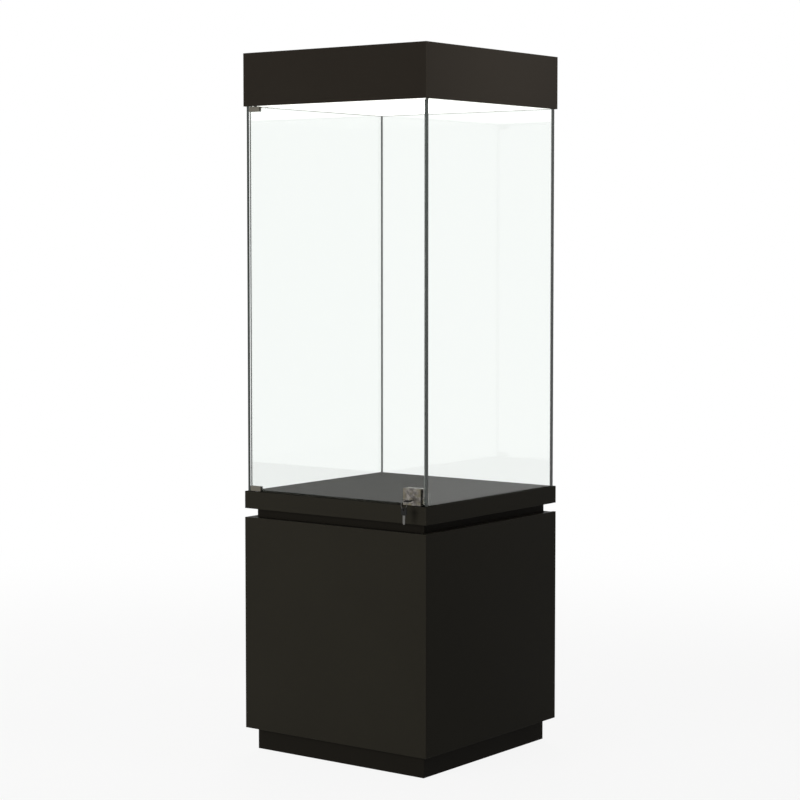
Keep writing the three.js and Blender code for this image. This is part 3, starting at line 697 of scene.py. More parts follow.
def add_piece(
    name: str, mesh: bpy.types.Mesh, body: str, finishes: Sequence[Finish] = (),
    replaces: Sequence[str] = (),
) -> bpy.types.Object:
    """Adds a finished mesh to the case.

    Args:
        name: The piece's name.
        mesh: Its mesh, in the frame's place.
        body: The body that carries it.
        finishes: Its materials, in the order of the faces' indices.
        replaces: The CAD nodes that it stands for.

    Returns:
        The piece.
    """
    piece = add_object(name, mesh)
    for finish in finishes:
        mesh.materials.append(finish.material())
    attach(piece, body)
    if replaces:
        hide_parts(*replaces)
    log.info("%s: %d faces, rides on %s", name, len(mesh.polygons), body)
    return piece


def eased_piece(
    node: str, finish: Finish, width_mm: float, mates: Iterable[str] = (), steps: int = 2
) -> bpy.types.Object:
    """Stands in for a CAD node with the same shape, its outer edges eased.

    Args:
        node: The CAD node.
        finish: Its finish.
        width_mm: The width of the easing.
        mates: The CAD nodes that it meets flush.
        steps: The faces across one rounding.

    Returns:
        The piece.
    """
    shape = outline_of(node)
    ease_edges(shape, width_mm * MM, mates, steps)
    name = f"{node}_finished"
    return add_piece(name, mesh_from(shape, name), BODY_OF[node], [finish], [node])


def eased_ring(nodes: Sequence[str], finish: Finish, width_mm: float) -> list[bpy.types.Object]:
    """Eases boards that meet each other flush in a ring, and returns them."""
    mates = {node: [other for other in nodes if other != node] for node in nodes}
    return [eased_piece(node, finish, width_mm, mates[node]) for node in nodes]


def glazed_piece(node: str, arris_mm: float) -> bpy.types.Object:
    """Stands in for a pane: clear on its two broad faces, ground on its edges and arrises.

    Args:
        node: The pane's CAD node.
        arris_mm: The width of the flat ground on each edge.

    Returns:
        The pane.
    """
    pane = eased_piece(node, GLASS, arris_mm, steps=1)
    pane.data.materials.append(GLASS_EDGE.material())
    low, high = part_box(node)
    size = high - low
    through = list(size).index(min(size))
    for face in pane.data.polygons:
        face.use_smooth = False
        face.material_index = int(abs(face.normal[through]) < SQUARE_ON)
    return pane


def dress_node(node: str, finish: Finish) -> None:
    """Gives a CAD node that stays as it is its finish.

    Args:
        node: The CAD node.
        finish: Its finish.
    """
    slots = frame["nodes"][node].data.materials
    slots.clear()
    slots.append(finish.material())
    log.info("%s: keeps its CAD mesh, %s", node, finish.name)


# Rules in Geometry Nodes for what repeats or follows a formula.


@dataclass
class Rule:
    """A Geometry Nodes tree with named sizes that runs once on a mesh of points.

    Attributes:
        name: The tree's name.
        finish: The material that its result is set to.
    """

    name: str
    finish: Finish

    def sizes(self) -> dict[str, float]:
        """Returns the tree's named inputs and their values."""
        raise NotImplementedError

    def grow(self, tree: bpy.types.NodeTree, given: bpy.types.Node) -> bpy.types.NodeSocket:
        """Builds the tree's geometry and returns the socket that holds it."""
        raise NotImplementedError

    def run(self, points: Sequence[Sequence[float]], turn: Matrix | None = None) -> bpy.types.Mesh:
        """Runs the tree on points and takes its result as a plain mesh.

        Args:
            points: The places, in the rule's own frame.
            turn: What brings that frame to the case's.

        Returns:
            The mesh, in the case's frame.
        """
        tree = bpy.data.node_groups.new(self.name, "GeometryNodeTree")
        tree.interface.new_socket("Points", in_out="INPUT", socket_type="NodeSocketGeometry")
        for label in self.sizes():
            tree.interface.new_socket(label, in_out="INPUT", socket_type="NodeSocketFloat")
        tree.interface.new_socket("Pieces", in_out="OUTPUT", socket_type="NodeSocketGeometry")
        grown = self.grow(tree, add(tree, "NodeGroupInput"))
        whole = add(tree, "GeometryNodeRealizeInstances", {"Geometry": grown}).outputs[0]
        dressing = {"Geometry": whole, "Material": self.finish.material()}
        dressed = add(tree, "GeometryNodeSetMaterial", dressing).outputs[0]
        add(tree, "NodeGroupOutput", {0: dressed})
        seeds = bpy.data.meshes.new(f"{self.name}_points")
        seeds.from_pydata([tuple(point) for point in points], [], [])
        host = add_object(f"{self.name}_host", seeds)
        modifier = host.modifiers.new(self.name, "NODES")
        modifier.node_group = tree
        for item in tree.interface.items_tree:
            if item.in_out == "INPUT" and item.name in self.sizes():
                modifier[item.identifier] = self.sizes()[item.name]
        settled = host.evaluated_get(bpy.context.evaluated_depsgraph_get())
        mesh = bpy.data.meshes.new_from_object(settled)
        host.modifiers.remove(modifier)
        bpy.data.objects.remove(host)
        if turn is not None:
            mesh.transform(turn)
        return mesh


@dataclass
class Screws(Rule):
    """Countersunk screws with a cross recess, whose heads face their frame's +Z.

    Attributes:
        sides: The corners of a head's circle.
        shank_share: The cone's narrow end, as a share of the head's radius.
        reach_share: The length of each slot of the cross, as a share of it.
    """

    radius_mm: float = 3.6
    depth_mm: float = 2.2
    recess_mm: float = 1.0
    sides: int = 28
    shank_share: float = 0.45
    reach_share: float = 1.25

    def sizes(self) -> dict[str, float]:
        """Gives the head's radius and depth, and the recess's width.

        Returns:
            The tree's named inputs.
        """
        return {
            "Head Radius": self.radius_mm * MM,
            "Head Depth": self.depth_mm * MM,
            "Recess Width": self.recess_mm * MM,
        }

    def grow(self, tree: bpy.types.NodeTree, given: bpy.types.Node) -> bpy.types.NodeSocket:
        """Cuts a cross into a cone and sets one on each point, sunk by its depth.

        Args:
            tree: The rule's tree.
            given: Its input node.

        Returns:
            The screws' socket.
        """
        radius, depth, width = [given.outputs[label] for label in self.sizes()]
        shank, reach = [
            add(tree, "ShaderNodeMath", {0: radius, 1: share}, operation="MULTIPLY").outputs[0]
            for share in (self.shank_share, self.reach_share)
        ]
        cone = {"Vertices": self.sides, "Radius Top": radius, "Radius Bottom": shank, "Depth": depth}
        head = add(tree, "GeometryNodeMeshCone", cone).outputs[0]
        lift = add(tree, "ShaderNodeCombineXYZ", {2: depth}).outputs[0]
        for across, along in ((reach, width), (width, reach)):
            size = add(tree, "ShaderNodeCombineXYZ", {0: across, 1: along, 2: depth}).outputs[0]
            bar = add(tree, "GeometryNodeMeshCube", {"Size": size}).outputs[0]
            cutter = add(tree, "GeometryNodeTransform", {"Geometry": bar, "Translation": lift}).outputs[0]
            cut = {0: head, 1: cutter}
            head = add(tree, "GeometryNodeMeshBoolean", cut, operation="DIFFERENCE").outputs[0]
        sunk = add(tree, "ShaderNodeVectorMath", {0: lift, "Scale": -1.0}, operation="SCALE").outputs[0]
        seated = add(tree, "GeometryNodeTransform", {"Geometry": head, "Translation": sunk}).outputs[0]
        places = {"Points": given.outputs[0], "Instance": seated}
        return add(tree, "GeometryNodeInstanceOnPoints", places).outputs[0]


@dataclass
class SplitRing(Rule):
    """A split ring: turns of flat wire about its frame's Z axis.

    Attributes:
        steps: The steps along one turn.
        sides: The corners of the wire's section.
    """

    radius_mm: float = 12.2
    strand_mm: float = 0.5
    strand_width_mm: float = 1.4
    turns: float = 2.0
    steps: int = 72
    sides: int = 12

    def sizes(self) -> dict[str, float]:
        """Gives the ring's mean radius and its strand's thickness and width.

        Returns:
            The tree's named inputs.
        """
        return {
            "Radius": self.radius_mm * MM,
            "Strand": self.strand_mm * MM,
            "Strand Width": self.strand_width_mm * MM,
        }

    def grow(self, tree: bpy.types.NodeTree, given: bpy.types.Node) -> bpy.types.NodeSocket:
        """Sweeps a flat oval along the turns of a spiral, whose middle lies on the point.

        Args:
            tree: The rule's tree.
            given: Its input node.

        Returns:
            The ring's socket.
        """
        radius, strand, width = [given.outputs[label] for label in self.sizes()]
        rise, half_down = [
            add(tree, "ShaderNodeMath", {0: strand, 1: share}, operation="MULTIPLY").outputs[0]
            for share in (self.turns, -self.turns / 2)
        ]
        spiral = {
            "Resolution": self.steps, "Rotations": self.turns, "Start Radius": radius, "End Radius": radius,
            "Height": rise,
        }
        coil = add(tree, "GeometryNodeCurveSpiral", spiral).outputs[0]
        level = add(tree, "GeometryNodeSetCurveNormal", {"Curve": coil}, mode="Z_UP").outputs[0]
        unit = {"Resolution": self.sides, "Radius": 0.5}
        circle = add(tree, "GeometryNodeCurvePrimitiveCircle", unit, mode="RADIUS").outputs[0]
        section = add(tree, "ShaderNodeCombineXYZ", {0: width, 1: strand, 2: 1.0}).outputs[0]
        oval = add(tree, "GeometryNodeTransform", {"Geometry": circle, "Scale": section}).outputs[0]
        sweep = {"Curve": level, "Profile Curve": oval, "Fill Caps": True}
        swept = add(tree, "GeometryNodeCurveToMesh", sweep).outputs[0]
        down = add(tree, "ShaderNodeCombineXYZ", {2: half_down}).outputs[0]
        return add(tree, "GeometryNodeTransform", {"Geometry": swept, "Translation": down}).outputs[0]


@dataclass
class SmallBlocks(Rule):
    """One small block on each point."""

    length_mm: float
    width_mm: float
    height_mm: float

    def sizes(self) -> dict[str, float]:
        """Returns a block's length, width and height."""
        return {"Length": self.length_mm * MM, "Width": self.width_mm * MM, "Height": self.height_mm * MM}

    def shape(
        self, tree: bpy.types.NodeTree, size: bpy.types.NodeSocket, height: bpy.types.NodeSocket
    ) -> bpy.types.NodeSocket:
        """Builds one block of a size and returns its socket."""
        raise NotImplementedError

    def grow(self, tree: bpy.types.NodeTree, given: bpy.types.Node) -> bpy.types.NodeSocket:
        """Sets a block on each point.

        Args:
            tree: The rule's tree.
            given: Its input node.

        Returns:
            The blocks' socket.
        """
        length, width, height = [given.outputs[label] for label in self.sizes()]
        size = add(tree, "ShaderNodeCombineXYZ", {0: length, 1: width, 2: height}).outputs[0]
        places = {"Points": given.outputs[0], "Instance": self.shape(tree, size, height)}
        return add(tree, "GeometryNodeInstanceOnPoints", places).outputs[0]


@dataclass
class GripBars(SmallBlocks):
    """Low raised bars across a key's bow.

    Attributes:
        segments, rings: The faces around and along one bar.
    """

    length_mm: float = 9.0
    width_mm: float = 0.8
    height_mm: float = 0.5
    segments: int = 20
    rings: int = 10

    def shape(
        self, tree: bpy.types.NodeTree, size: bpy.types.NodeSocket, height: bpy.types.NodeSocket
    ) -> bpy.types.NodeSocket:
        """Flattens a ball to a round bar.

        Args:
            tree: The rule's tree.
            size: The bar's length, width and height.
            height: Its height alone; not used.

        Returns:
            The bar's socket.
        """
        unit = {"Segments": self.segments, "Rings": self.rings, "Radius": 0.5}
        ball = add(tree, "GeometryNodeMeshUVSphere", unit).outputs[0]
        return add(tree, "GeometryNodeTransform", {"Geometry": ball, "Scale": size}).outputs[0]


@dataclass
class LedChips(SmallBlocks):
    """LED chips that hang under their points."""

    length_mm: float = 3.5
    width_mm: float = 2.8
    height_mm: float = 0.8

    def shape(
        self, tree: bpy.types.NodeTree, size: bpy.types.NodeSocket, height: bpy.types.NodeSocket
    ) -> bpy.types.NodeSocket:
        """Hangs a block by half its height.

        Args:
            tree: The rule's tree.
            size: The chip's length, width and height.
            height: Its height alone.

        Returns:
            The chip's socket.
        """
        block = add(tree, "GeometryNodeMeshCube", {"Size": size}).outputs[0]
        drop = add(tree, "ShaderNodeMath", {0: height, 1: -0.5}, operation="MULTIPLY").outputs[0]
        under = add(tree, "ShaderNodeCombineXYZ", {2: drop}).outputs[0]
        return add(tree, "GeometryNodeTransform", {"Geometry": block, "Translation": under}).outputs[0]


# The case, from the floor up.

# Turns a rule's frame so that its +Z faces the case's rear and its +Y faces up.
FACING_REAR = Matrix(((-1, 0, 0, 0), (0, 0, 1, 0), (0, 1, 0, 0), (0, 0, 0, 1)))
# Stands a rule's frame up, so that its +Z faces the door side.
STANDING = Matrix(((1, 0, 0, 0), (0, 0, -1, 0), (0, 1, 0, 0), (0, 0, 0, 1)))


def ring_of(pattern: str) -> list[str]:
    """Names the four boards of a ring."""
    return [pattern.format(side) for side in ("front", "rear", "left", "right")]


def rear_screws(screws: Screws, carrier: str, level: float, spread_mm: float, proud_mm: float = 0.4) -> None:
    """Sets two screws in the rear face of a piece on the door.

    Args:
        screws: The screws' rule, whose name theirs is.
        carrier: The CAD node that they go into.
        level: Their height.
        spread_mm: How far each stands from the middle.
        proud_mm: How far their heads stand out.
    """
    low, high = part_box(carrier)
    middle, spread = (low.x + high.x) / 2, spread_mm * MM
    places = [(-middle - spread, level, 0), (-middle + spread, level, 0)]
    face = Matrix.Translation((0, high.y + proud_mm * MM, 0))
    add_piece(screws.name, screws.run(places, face @ FACING_REAR), "door")


@dataclass
class Plinth:
    """The recessed plinth, its cross rail and the four levelling feet."""

    board_easing_mm: float = 0.6
    foot_easing_mm: float = 0.8
    feet: int = 4

    def build(self) -> None:
        """Paints the boards and turns the feet."""
        eased_ring(ring_of("plinth_{}"), PAINT, self.board_easing_mm)
        eased_piece("plinth_cross_rail", PAINT, self.board_easing_mm)
        for number in range(1, self.feet + 1):
            eased_piece(f"levelling_foot_{number}", STEEL, self.foot_easing_mm)


@dataclass
class Base:
    """The lacquered base box with its screwed service panel and what is mounted in it.

    Attributes:
        screw_inset_mm: From a screw to the panel's edges.
        screw_sink_mm: How far a screw's head lies below the panel's face.
        sink_clearance_mm: The room around a head.
        pin_sleeve_mm: The thickness of a nickel sleeve on an inlet pin.
        pin_end_limit_mm2: No pin's end is larger.
        pin_field_mm: No pin's end lies further from the inlet's middle.
    """

    panel_easing_mm: float = 0.5
    inlet_easing_mm: float = 0.4
    driver_easing_mm: float = 2.0
    lead_easing_mm: float = 0.03
    screw_inset_mm: float = 14.0
    screws_per_side: int = 4
    screw_sink_mm: float = 0.3
    sink_clearance_mm: float = 0.15
    pin_sleeve_mm: float = 0.03
    pin_length_mm: float = 11.0
    pin_easing_mm: float = 0.35
    pin_end_limit_mm2: float = 12.0
    pin_field_mm: float = 22.0
    screws: Screws = field(default_factory=lambda: Screws("service_panel_screws", NICKEL))

    def build(self) -> None:
        """Lacquers the box, screws its rear panel on and dresses what is inside."""
        outer = ["base_front_panel", "base_left_panel", "base_right_panel"]
        for panel in outer:
            mates = [other for other in outer if other != panel] + ["base_floor_panel", "base_top_panel"]
            eased_piece(panel, LACQUER, self.panel_easing_mm, mates)
        dress_node("base_floor_panel", FIBREBOARD)
        dress_node("base_top_panel", PAINT)
        self.build_service_panel()
        eased_piece("mains_inlet", BLACK_PLASTIC, self.inlet_easing_mm)
        self.build_inlet_pins()
        eased_piece("led_driver", ALUMINIUM, self.driver_easing_mm, steps=FINE_STEPS)
        eased_piece("mains_lead", BLACK_PLASTIC, self.lead_easing_mm)
        eased_piece("low_voltage_lead", BLACK_PLASTIC, self.lead_easing_mm)

    def screw_places(self) -> list[tuple[float, float]]:
        """Spaces the screws in one row up each side of the rear panel.

        Returns:
            Their x and z.
        """
        low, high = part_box("service_panel")
        inset = self.screw_inset_mm * MM
        pitch = (high.z - low.z - 2 * inset) / (self.screws_per_side - 1)
        up = [low.z + inset + i * pitch for i in range(self.screws_per_side)]
        return [(x, z) for x in (low.x + inset, high.x - inset) for z in up]

    def build_drill(self) -> bpy.types.Object:
        """Shapes what cuts all the countersinks, a little wider than the screws' heads.

        Returns:
            The cutter.
        """
        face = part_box("service_panel")[1].y
        sink = self.screw_sink_mm * MM
        radius = (self.screws.radius_mm + self.sink_clearance_mm) * MM
        depth = (self.screws.depth_mm + self.sink_clearance_mm) * MM + sink
        to_rear = Matrix.Rotation(-math.pi / 2, 4, "X")
        drill = bmesh.new()
        for x, z in self.screw_places():
            bmesh.ops.create_cone(
                drill, cap_ends=True, segments=self.screws.sides, radius1=self.screws.shank_share * radius,
                radius2=radius + sink, depth=depth + sink,
                matrix=Matrix.Translation((x, face + sink - (depth + sink) / 2, z)) @ to_rear,
            )
        return add_object("service_panel_drill", mesh_from(drill, "service_panel_drill"))

    def build_service_panel(self) -> None:
        """Countersinks the rear panel and sets its screws."""
        shape = outline_of("service_panel")
        ease_edges(shape, self.panel_easing_mm * MM)
        panel = add_object("service_panel_blank", mesh_from(shape, "service_panel_blank"))
        drill = self.build_drill()
        cut = panel.modifiers.new("countersinks", "BOOLEAN")
        cut.object = drill
        cut.operation = "DIFFERENCE"
        mesh = bpy.data.meshes.new_from_object(panel.evaluated_get(bpy.context.evaluated_depsgraph_get()))
        bpy.data.objects.remove(panel)
        bpy.data.objects.remove(drill)
        add_piece("service_panel_finished", mesh, "case", [LACQUER], ["service_panel"])
        face = Matrix.Translation((0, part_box("service_panel")[1].y - self.screw_sink_mm * MM, 0))
        heads = self.screws.run([(-x, z, 0) for x, z in self.screw_places()], face @ FACING_REAR)
        add_piece(self.screws.name, heads, "case")

    def build_inlet_pins(self) -> None:
        """Sheathes the inlet's three pins in nickel, from their ends inwards."""
        inlet = outline_of("mains_inlet")
        low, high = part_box("mains_inlet")
        length, sleeve = self.pin_length_mm * MM, self.pin_sleeve_mm * MM
        small, reach = self.pin_end_limit_mm2 * MM * MM, self.pin_field_mm * MM
        ends = [face for face in inlet.faces if face.normal.y > SQUARE_ON and face.calc_area() < small]
        tip = max(face.calc_center_median().y for face in ends)
        pins = bmesh.new()
        for end in ends:
            middle = end.calc_center_median()
            if abs(middle.y - tip) > WELD or (middle - (low + high) / 2).length > reach:
                continue
            corners = [corner.co for corner in end.verts]
            near, far = [Vector([pick(c[i] for c in corners) for i in range(3)]) for pick in (min, max)]
            size = Vector((far.x - near.x + 2 * sleeve, length, far.z - near.z + 2 * sleeve))
            centre = (near + far) / 2 - Vector((0, length / 2 - sleeve, 0))
            place = Matrix.Translation(centre) @ Matrix.Diagonal(size).to_4x4()
            bmesh.ops.create_cube(pins, size=1.0, matrix=place)
        inlet.free()
        ease_edges(pins, self.pin_easing_mm * MM)
        add_piece("mains_inlet_pins", mesh_from(pins, "mains_inlet_pins"), "case", [NICKEL])


@dataclass
class Deck:
    """The reveal and the deck: four rails with a flush laminated top, and the display board."""

    reveal_easing_mm: float = 0.5
    rail_easing_mm: float = 0.8
    board_easing_mm: float = 0.25
    small_easing_mm: float = 0.3

    def build(self) -> None:
        """Paints the reveal, lacquers the rails' sides and lays the laminate on their top."""
        eased_ring(ring_of("reveal_{}"), PAINT, self.reveal_easing_mm)
        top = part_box("display_board")[1].z
        for rail in eased_ring(ring_of("deck_{}_rail"), LACQUER, self.rail_easing_mm):
            rail.data.materials.append(LAMINATE.material())
            for face in rail.data.polygons:
                face.material_index = int(face.normal.z > FACING_UP and abs(face.center.z - top) < WELD)
        eased_piece("display_board", LAMINATE, self.board_easing_mm)
        eased_piece("strike_plate", NICKEL, self.small_easing_mm)
        eased_piece("bottom_pivot_bush", NYLON, self.small_easing_mm)


@dataclass
class FixedGlass:
    """The three fixed panes, the silicone in their rear corners and the door's seal."""

    arris_mm: float = 0.7

    def build(self) -> None:
        """Grinds the panes' arrises flat and fills their joints."""
        for pane in ("left_pane", "right_pane", "rear_pane"):
            glazed_piece(pane, self.arris_mm)
        dress_node("silicone_joint_left", SILICONE)
        dress_node("silicone_joint_right", SILICONE)
        eased_piece("door_stop_seal", SEAL, self.arris_mm)


@dataclass
class Door:
    """The pivot door: its pane, its two clamps with their set screws, and its pins.

    Attributes:
        screw_spread_mm: From a clamp's middle to each of its screws.
        jaw_height_mm: From a clamp's outer end to its screws.
    """

    arris_mm: float = 0.7
    clamp_easing_mm: float = 0.9
    pin_easing_mm: float = 0.4
    screw_spread_mm: float = 9.0
    jaw_height_mm: float = 10.5
    screw_radius_mm: float = 2.4
    screw_depth_mm: float = 1.2
    screw_recess_mm: float = 0.7

    def build(self) -> None:
        """Hangs the pane between its clamps and screws their inner jaws."""
        glazed_piece("door_pane", self.arris_mm)
        rise = self.jaw_height_mm * MM
        for end in ("bottom", "top"):
            eased_piece(f"{end}_clamp", NICKEL, self.clamp_easing_mm, steps=FINE_STEPS)
            eased_piece(f"{end}_pivot_pin", STEEL, self.pin_easing_mm)
            low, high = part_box(f"{end}_clamp")
            level = low.z + rise if end == "bottom" else high.z - rise
            screws = Screws(
                f"{end}_clamp_screws", NICKEL, self.screw_radius_mm, self.screw_depth_mm, self.screw_recess_mm
            )
            rear_screws(screws, f"{end}_clamp", level, self.screw_spread_mm)


@dataclass
class Lock:
    """The glass-door lock: its body, rear cover, plug and bolt.

    Attributes:
        screw_spread_mm: From the cover's middle to each of its screws.
        screw_level_mm: From its lower edge to its screws.
    """

    body_easing_mm: float = 1.2
    plug_easing_mm: float = 0.5
    screw_spread_mm: float = 22.0
    screw_level_mm: float = 36.5
    screws: Screws = field(default_factory=lambda: Screws("lock_cover_screws", NICKEL, 2.6, 1.2, 0.8))

    def build(self) -> None:
        """Plates the lock and screws its cover on."""
        eased_piece("lock_body", PLATING, self.body_easing_mm, steps=FINE_STEPS)
        eased_piece("lock_rear_cover", PLATING, self.body_easing_mm, steps=FINE_STEPS)
        eased_piece("lock_plug", PLATING, self.plug_easing_mm)
        eased_piece("lock_bolt", STEEL, self.plug_easing_mm)
        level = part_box("lock_rear_cover")[0].z + self.screw_level_mm * MM
        rear_screws(self.screws, "lock_rear_cover", level, self.screw_spread_mm)


@dataclass
class Keys:
    """The key in the lock, the split ring and the spare key that hangs from it.

    Attributes:
        bar_start_mm: From a bow's outer end to its first bar.
    """

    blade_easing_mm: float = 0.3
    bow_easing_mm: float = 0.7
    bar_pitch_mm: float = 2.0
    bar_count: int = 4
    bar_start_mm: float = 7.5
    ring: SplitRing = field(default_factory=lambda: SplitRing("split_ring", KEY_STEEL))
    bars: GripBars = field(default_factory=lambda: GripBars("bow_bars", BLACK_PLASTIC))

    def build(self) -> None:
        """Finishes both keys and winds the ring."""
        for blade in ("key_blade", "spare_key_blade"):
            eased_piece(blade, KEY_STEEL, self.blade_easing_mm)
        for bow in ("key_bow", "spare_key_bow"):
            eased_piece(bow, BLACK_PLASTIC, self.bow_easing_mm, steps=FINE_STEPS)
        low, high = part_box("key_ring")
        turn = Matrix.Translation((low + high) / 2) @ Matrix.Rotation(math.pi / 2, 4, "Y")
        ring = self.ring.run([(0, 0, 0)], turn)
        add_piece("key_ring_finished", ring, BODY_OF["key_ring"], replaces=["key_ring"])
        self.build_bars()

    def build_bars(self) -> None:
        """Raises the grip bars on both faces of both bows."""
        steps = [(self.bar_start_mm + i * self.bar_pitch_mm) * MM for i in range(self.bar_count)]
        low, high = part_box("key_bow")
        middle = (low.x + high.x) / 2
        flat = [(middle, low.y + step, level) for step in steps for level in (low.z, high.z)]
        add_piece("key_bow_bars", self.bars.run(flat), BODY_OF["key_bow"])
        low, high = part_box("spare_key_bow")
        middle = (low.x + high.x) / 2
        hung = [(middle, high.z - step, -face) for step in steps for face in (low.y, high.y)]
        bars = self.bars.run(hung, STANDING)
        add_piece("spare_key_bow_bars", bars, BODY_OF["spare_key_bow"])


@dataclass
class Canopy:
    """The canopy: its steel shell, the rails that cap the glass, and the light."""

    shell_easing_mm: float = 0.9
    rail_easing_mm: float = 0.5
    chip_pitch_mm: float = 58.0
    chip_rows: int = 9
    chips: LedChips = field(default_factory=lambda: LedChips("led_chips", NYLON))

    def build(self) -> None:
        """Coats the shell, dresses the rails and lights the diffuser."""
        eased_piece("canopy_shell", POWDER_COAT, self.shell_easing_mm, steps=FINE_STEPS)
        for rail in ("head_rail", "glass_rail_rear", "glass_rail_left", "glass_rail_right"):
            dress_node(rail, ALUMINIUM)
        eased_piece("top_pivot_bush", NYLON, self.rail_easing_mm)
        eased_piece("diffuser", OPAL, self.rail_easing_mm)
        eased_piece("led_tray", WHITE_PAINT, self.rail_easing_mm)
        dress_node("led_board", WHITE_PAINT)
        low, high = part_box("led_board")
        middle = (low + high) / 2
        reach = (self.chip_rows - 1) / 2
        steps = [(i - reach) * self.chip_pitch_mm * MM for i in range(self.chip_rows)]
        places = [(middle.x + x, middle.y + y, low.z) for x in steps for y in steps]
        add_piece("led_chips", self.chips.run(places), "case")


# The studio around the case.


@dataclass(frozen=True)
class SoftLamp:
    """A square soft lamp, which lights the case and shows in no reflection.

    Attributes:
        name: Its name.
        place: Where it hangs.
        target: The point that it faces.
        size: The length of its side.
        power: Its power in watts.
        spread_deg: The full angle that it lights.
    """

    name: str
    place: tuple[float, float, float]
    target: tuple[float, float, float]
    size: float
    power: float
    spread_deg: float = 180.0

    def hang(self) -> None:
        """Adds the lamp to the scene."""
        light = bpy.data.lights.new(self.name, "AREA")
        light.shape = "SQUARE"
        light.size = self.size
        light.energy = self.power
        light.spread = math.radians(self.spread_deg)
        lamp = add_object(self.name, light)
        lamp.location = self.place
        ahead = Vector(self.target) - Vector(self.place)
        lamp.rotation_euler = ahead.to_track_quat("-Z", "Y").to_euler()
        lamp.visible_camera = lamp.visible_glossy = lamp.visible_transmission = False


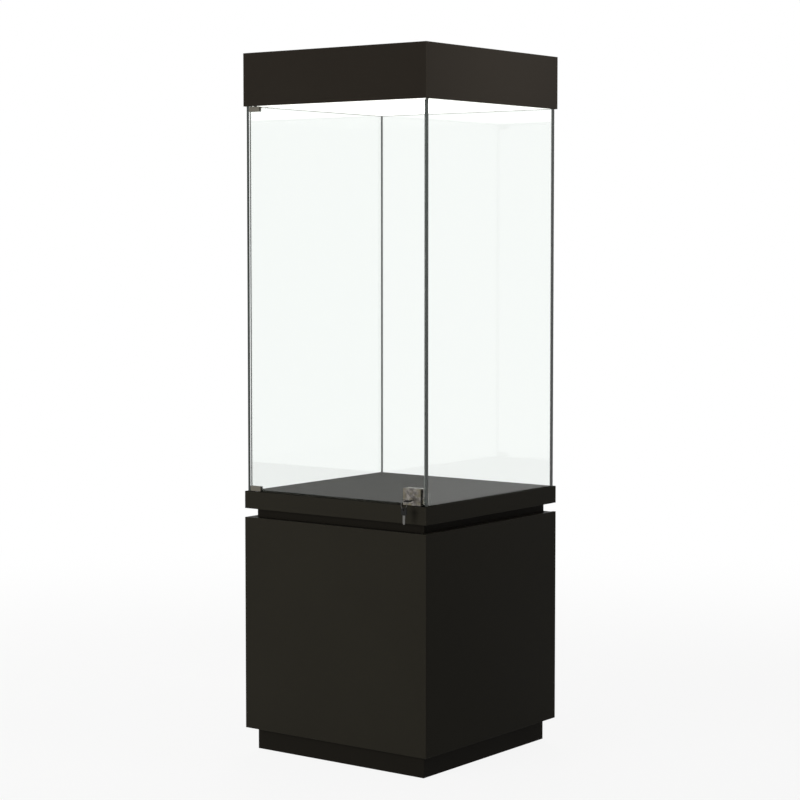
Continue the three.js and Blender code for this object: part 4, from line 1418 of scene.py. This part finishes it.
@dataclass
class Studio:
    """The camera, the pale floor, the white surround and the soft lamps.

    The camera stands at eye height and looks a little down, with a small shift for what is left of the
    framing.

    Attributes:
        frame_px: The picture's side, in pixels.
        focal_px: The focal length, in the picture's pixels.
        floor_glow: The share of white in what is seen of the floor by the case.
        shadow_reach: From the case to where the floor starts to turn all white.
        floor_end: From the case to where it is all white.
        surround_level: How bright the surround is where it lights the case.
    """

    eye: tuple[float, float, float] = (3.5044, -4.6731, 1.3716)
    azimuth_deg: float = 36.92
    pitch_deg: float = 3.62
    shift: float = -0.03
    frame_px: int = 800
    focal_px: float = 2172.9
    sensor_mm: float = 36.0
    floor_size: float = 60.0
    floor_colour: str = "#cfcecb"
    floor_glow: float = 0.9
    shadow_reach: float = 1.2
    floor_end: float = 4.0
    surround_level: float = 0.28
    surround_colour: str = "#fbfbfa"
    lamps: tuple[SoftLamp, ...] = (
        SoftLamp("key_softbox", (-1.0, -5.0, 1.5), (0.0, -0.2, 0.9), 2.4, 166.0),
        SoftLamp("side_softbox", (2.0, 0.5, 2.7), (0.3, 0.0, 1.8), 0.7, 4.2, 45.0),
        SoftLamp("rear_softbox", (-3.2, 4.4, 2.8), (0.0, 0.2, 0.9), 2.4, 132.0),
    )

    def build(self) -> None:
        """Sets the camera, the floor, the surround and the lamps."""
        self.build_camera()
        self.build_floor()
        self.build_surround()
        for lamp in self.lamps:
            lamp.hang()

    def build_camera(self) -> None:
        """Stands the camera where the photograph was taken from."""
        lens = bpy.data.cameras.new("camera")
        lens.sensor_width = self.sensor_mm
        lens.lens = self.focal_px * self.sensor_mm / self.frame_px
        lens.shift_y = self.shift
        camera = add_object("camera", lens)
        azimuth, pitch = math.radians(self.azimuth_deg), math.radians(self.pitch_deg)
        level = math.cos(pitch)
        ahead = Vector((-math.sin(azimuth) * level, math.cos(azimuth) * level, -math.sin(pitch)))
        camera.location = self.eye
        camera.rotation_euler = ahead.to_track_quat("-Z", "Y").to_euler()
        bpy.context.scene.camera = camera

    def seen(self, tree: bpy.types.NodeTree) -> bpy.types.NodeSocket:
        """Tells which rays see the background: the camera's, and those off gloss or through glass.

        Args:
            tree: The tree of the floor's or the surround's material.

        Returns:
            A socket that is 1 for those rays.
        """
        path = add(tree, "ShaderNodeLightPath").outputs
        share = path["Is Camera Ray"]
        for ray in ("Is Glossy Ray", "Is Transmission Ray"):
            share = add(tree, "ShaderNodeMath", {0: share, 1: path[ray]}, operation="MAXIMUM").outputs[0]
        return share

    def build_floor(self) -> None:
        """Lays a pale floor that shows nearly white and keeps the case's shadow."""
        material = bpy.data.materials.new("pale_floor")
        material.use_nodes = True
        tree = material.node_tree
        tree.nodes.clear()
        paint = add(tree, "ShaderNodeBsdfDiffuse", {"Color": linear(self.floor_colour)}).outputs[0]
        white = add(tree, "ShaderNodeEmission", {"Color": linear("#ffffff"), "Strength": 1.0}).outputs[0]
        place = add(tree, "ShaderNodeTexCoord").outputs["Object"]
        away = add(tree, "ShaderNodeVectorMath", {0: place}, operation="LENGTH").outputs["Value"]
        glow = add(
            tree, "ShaderNodeMapRange",
            {"Value": away, "From Min": self.shadow_reach, "From Max": self.floor_end,
             "To Min": self.floor_glow},
            interpolation_type="SMOOTHSTEP",
        ).outputs[0]
        share = add(tree, "ShaderNodeMath", {0: self.seen(tree), 1: glow}, operation="MULTIPLY").outputs[0]
        shown = add(tree, "ShaderNodeMixShader", {0: share, 1: paint, 2: white}).outputs[0]
        add(tree, "ShaderNodeOutputMaterial", {"Surface": shown})
        half = self.floor_size / 2
        corners = [(-half, -half, 0), (half, -half, 0), (half, half, 0), (-half, half, 0)]
        mesh = bpy.data.meshes.new("floor")
        mesh.from_pydata(corners, [], [(0, 1, 2, 3)])
        mesh.materials.append(material)
        floor = add_object("floor", mesh)

    def build_surround(self) -> None:
        """Makes the surround white where it is seen and softer where it lights the case."""
        world = bpy.data.worlds.new("surround")
        world.use_nodes = True
        tree = world.node_tree
        tree.nodes.clear()
        soft = {"Color": linear(self.surround_colour), "Strength": self.surround_level}
        light = add(tree, "ShaderNodeBackground", soft).outputs[0]
        white = add(tree, "ShaderNodeBackground", {"Color": linear("#ffffff"), "Strength": 1.0}).outputs[0]
        shown = add(tree, "ShaderNodeMixShader", {0: self.seen(tree), 1: light, 2: white}).outputs[0]
        add(tree, "ShaderNodeOutputWorld", {"Surface": shown})
        bpy.context.scene.world = world


def main() -> None:
    """Builds the studio and the case."""
    logging.basicConfig(level=logging.INFO, format="%(message)s")
    bpy.context.scene.view_settings.view_transform = "Standard"
    assemblies = (Studio(), Plinth(), Base(), Deck(), FixedGlass(), Door(), Lock(), Keys(), Canopy())
    for assembly in assemblies:
        log.info("Building: %s", type(assembly).__name__)
        assembly.build()


if __name__ == "__main__":
    main()
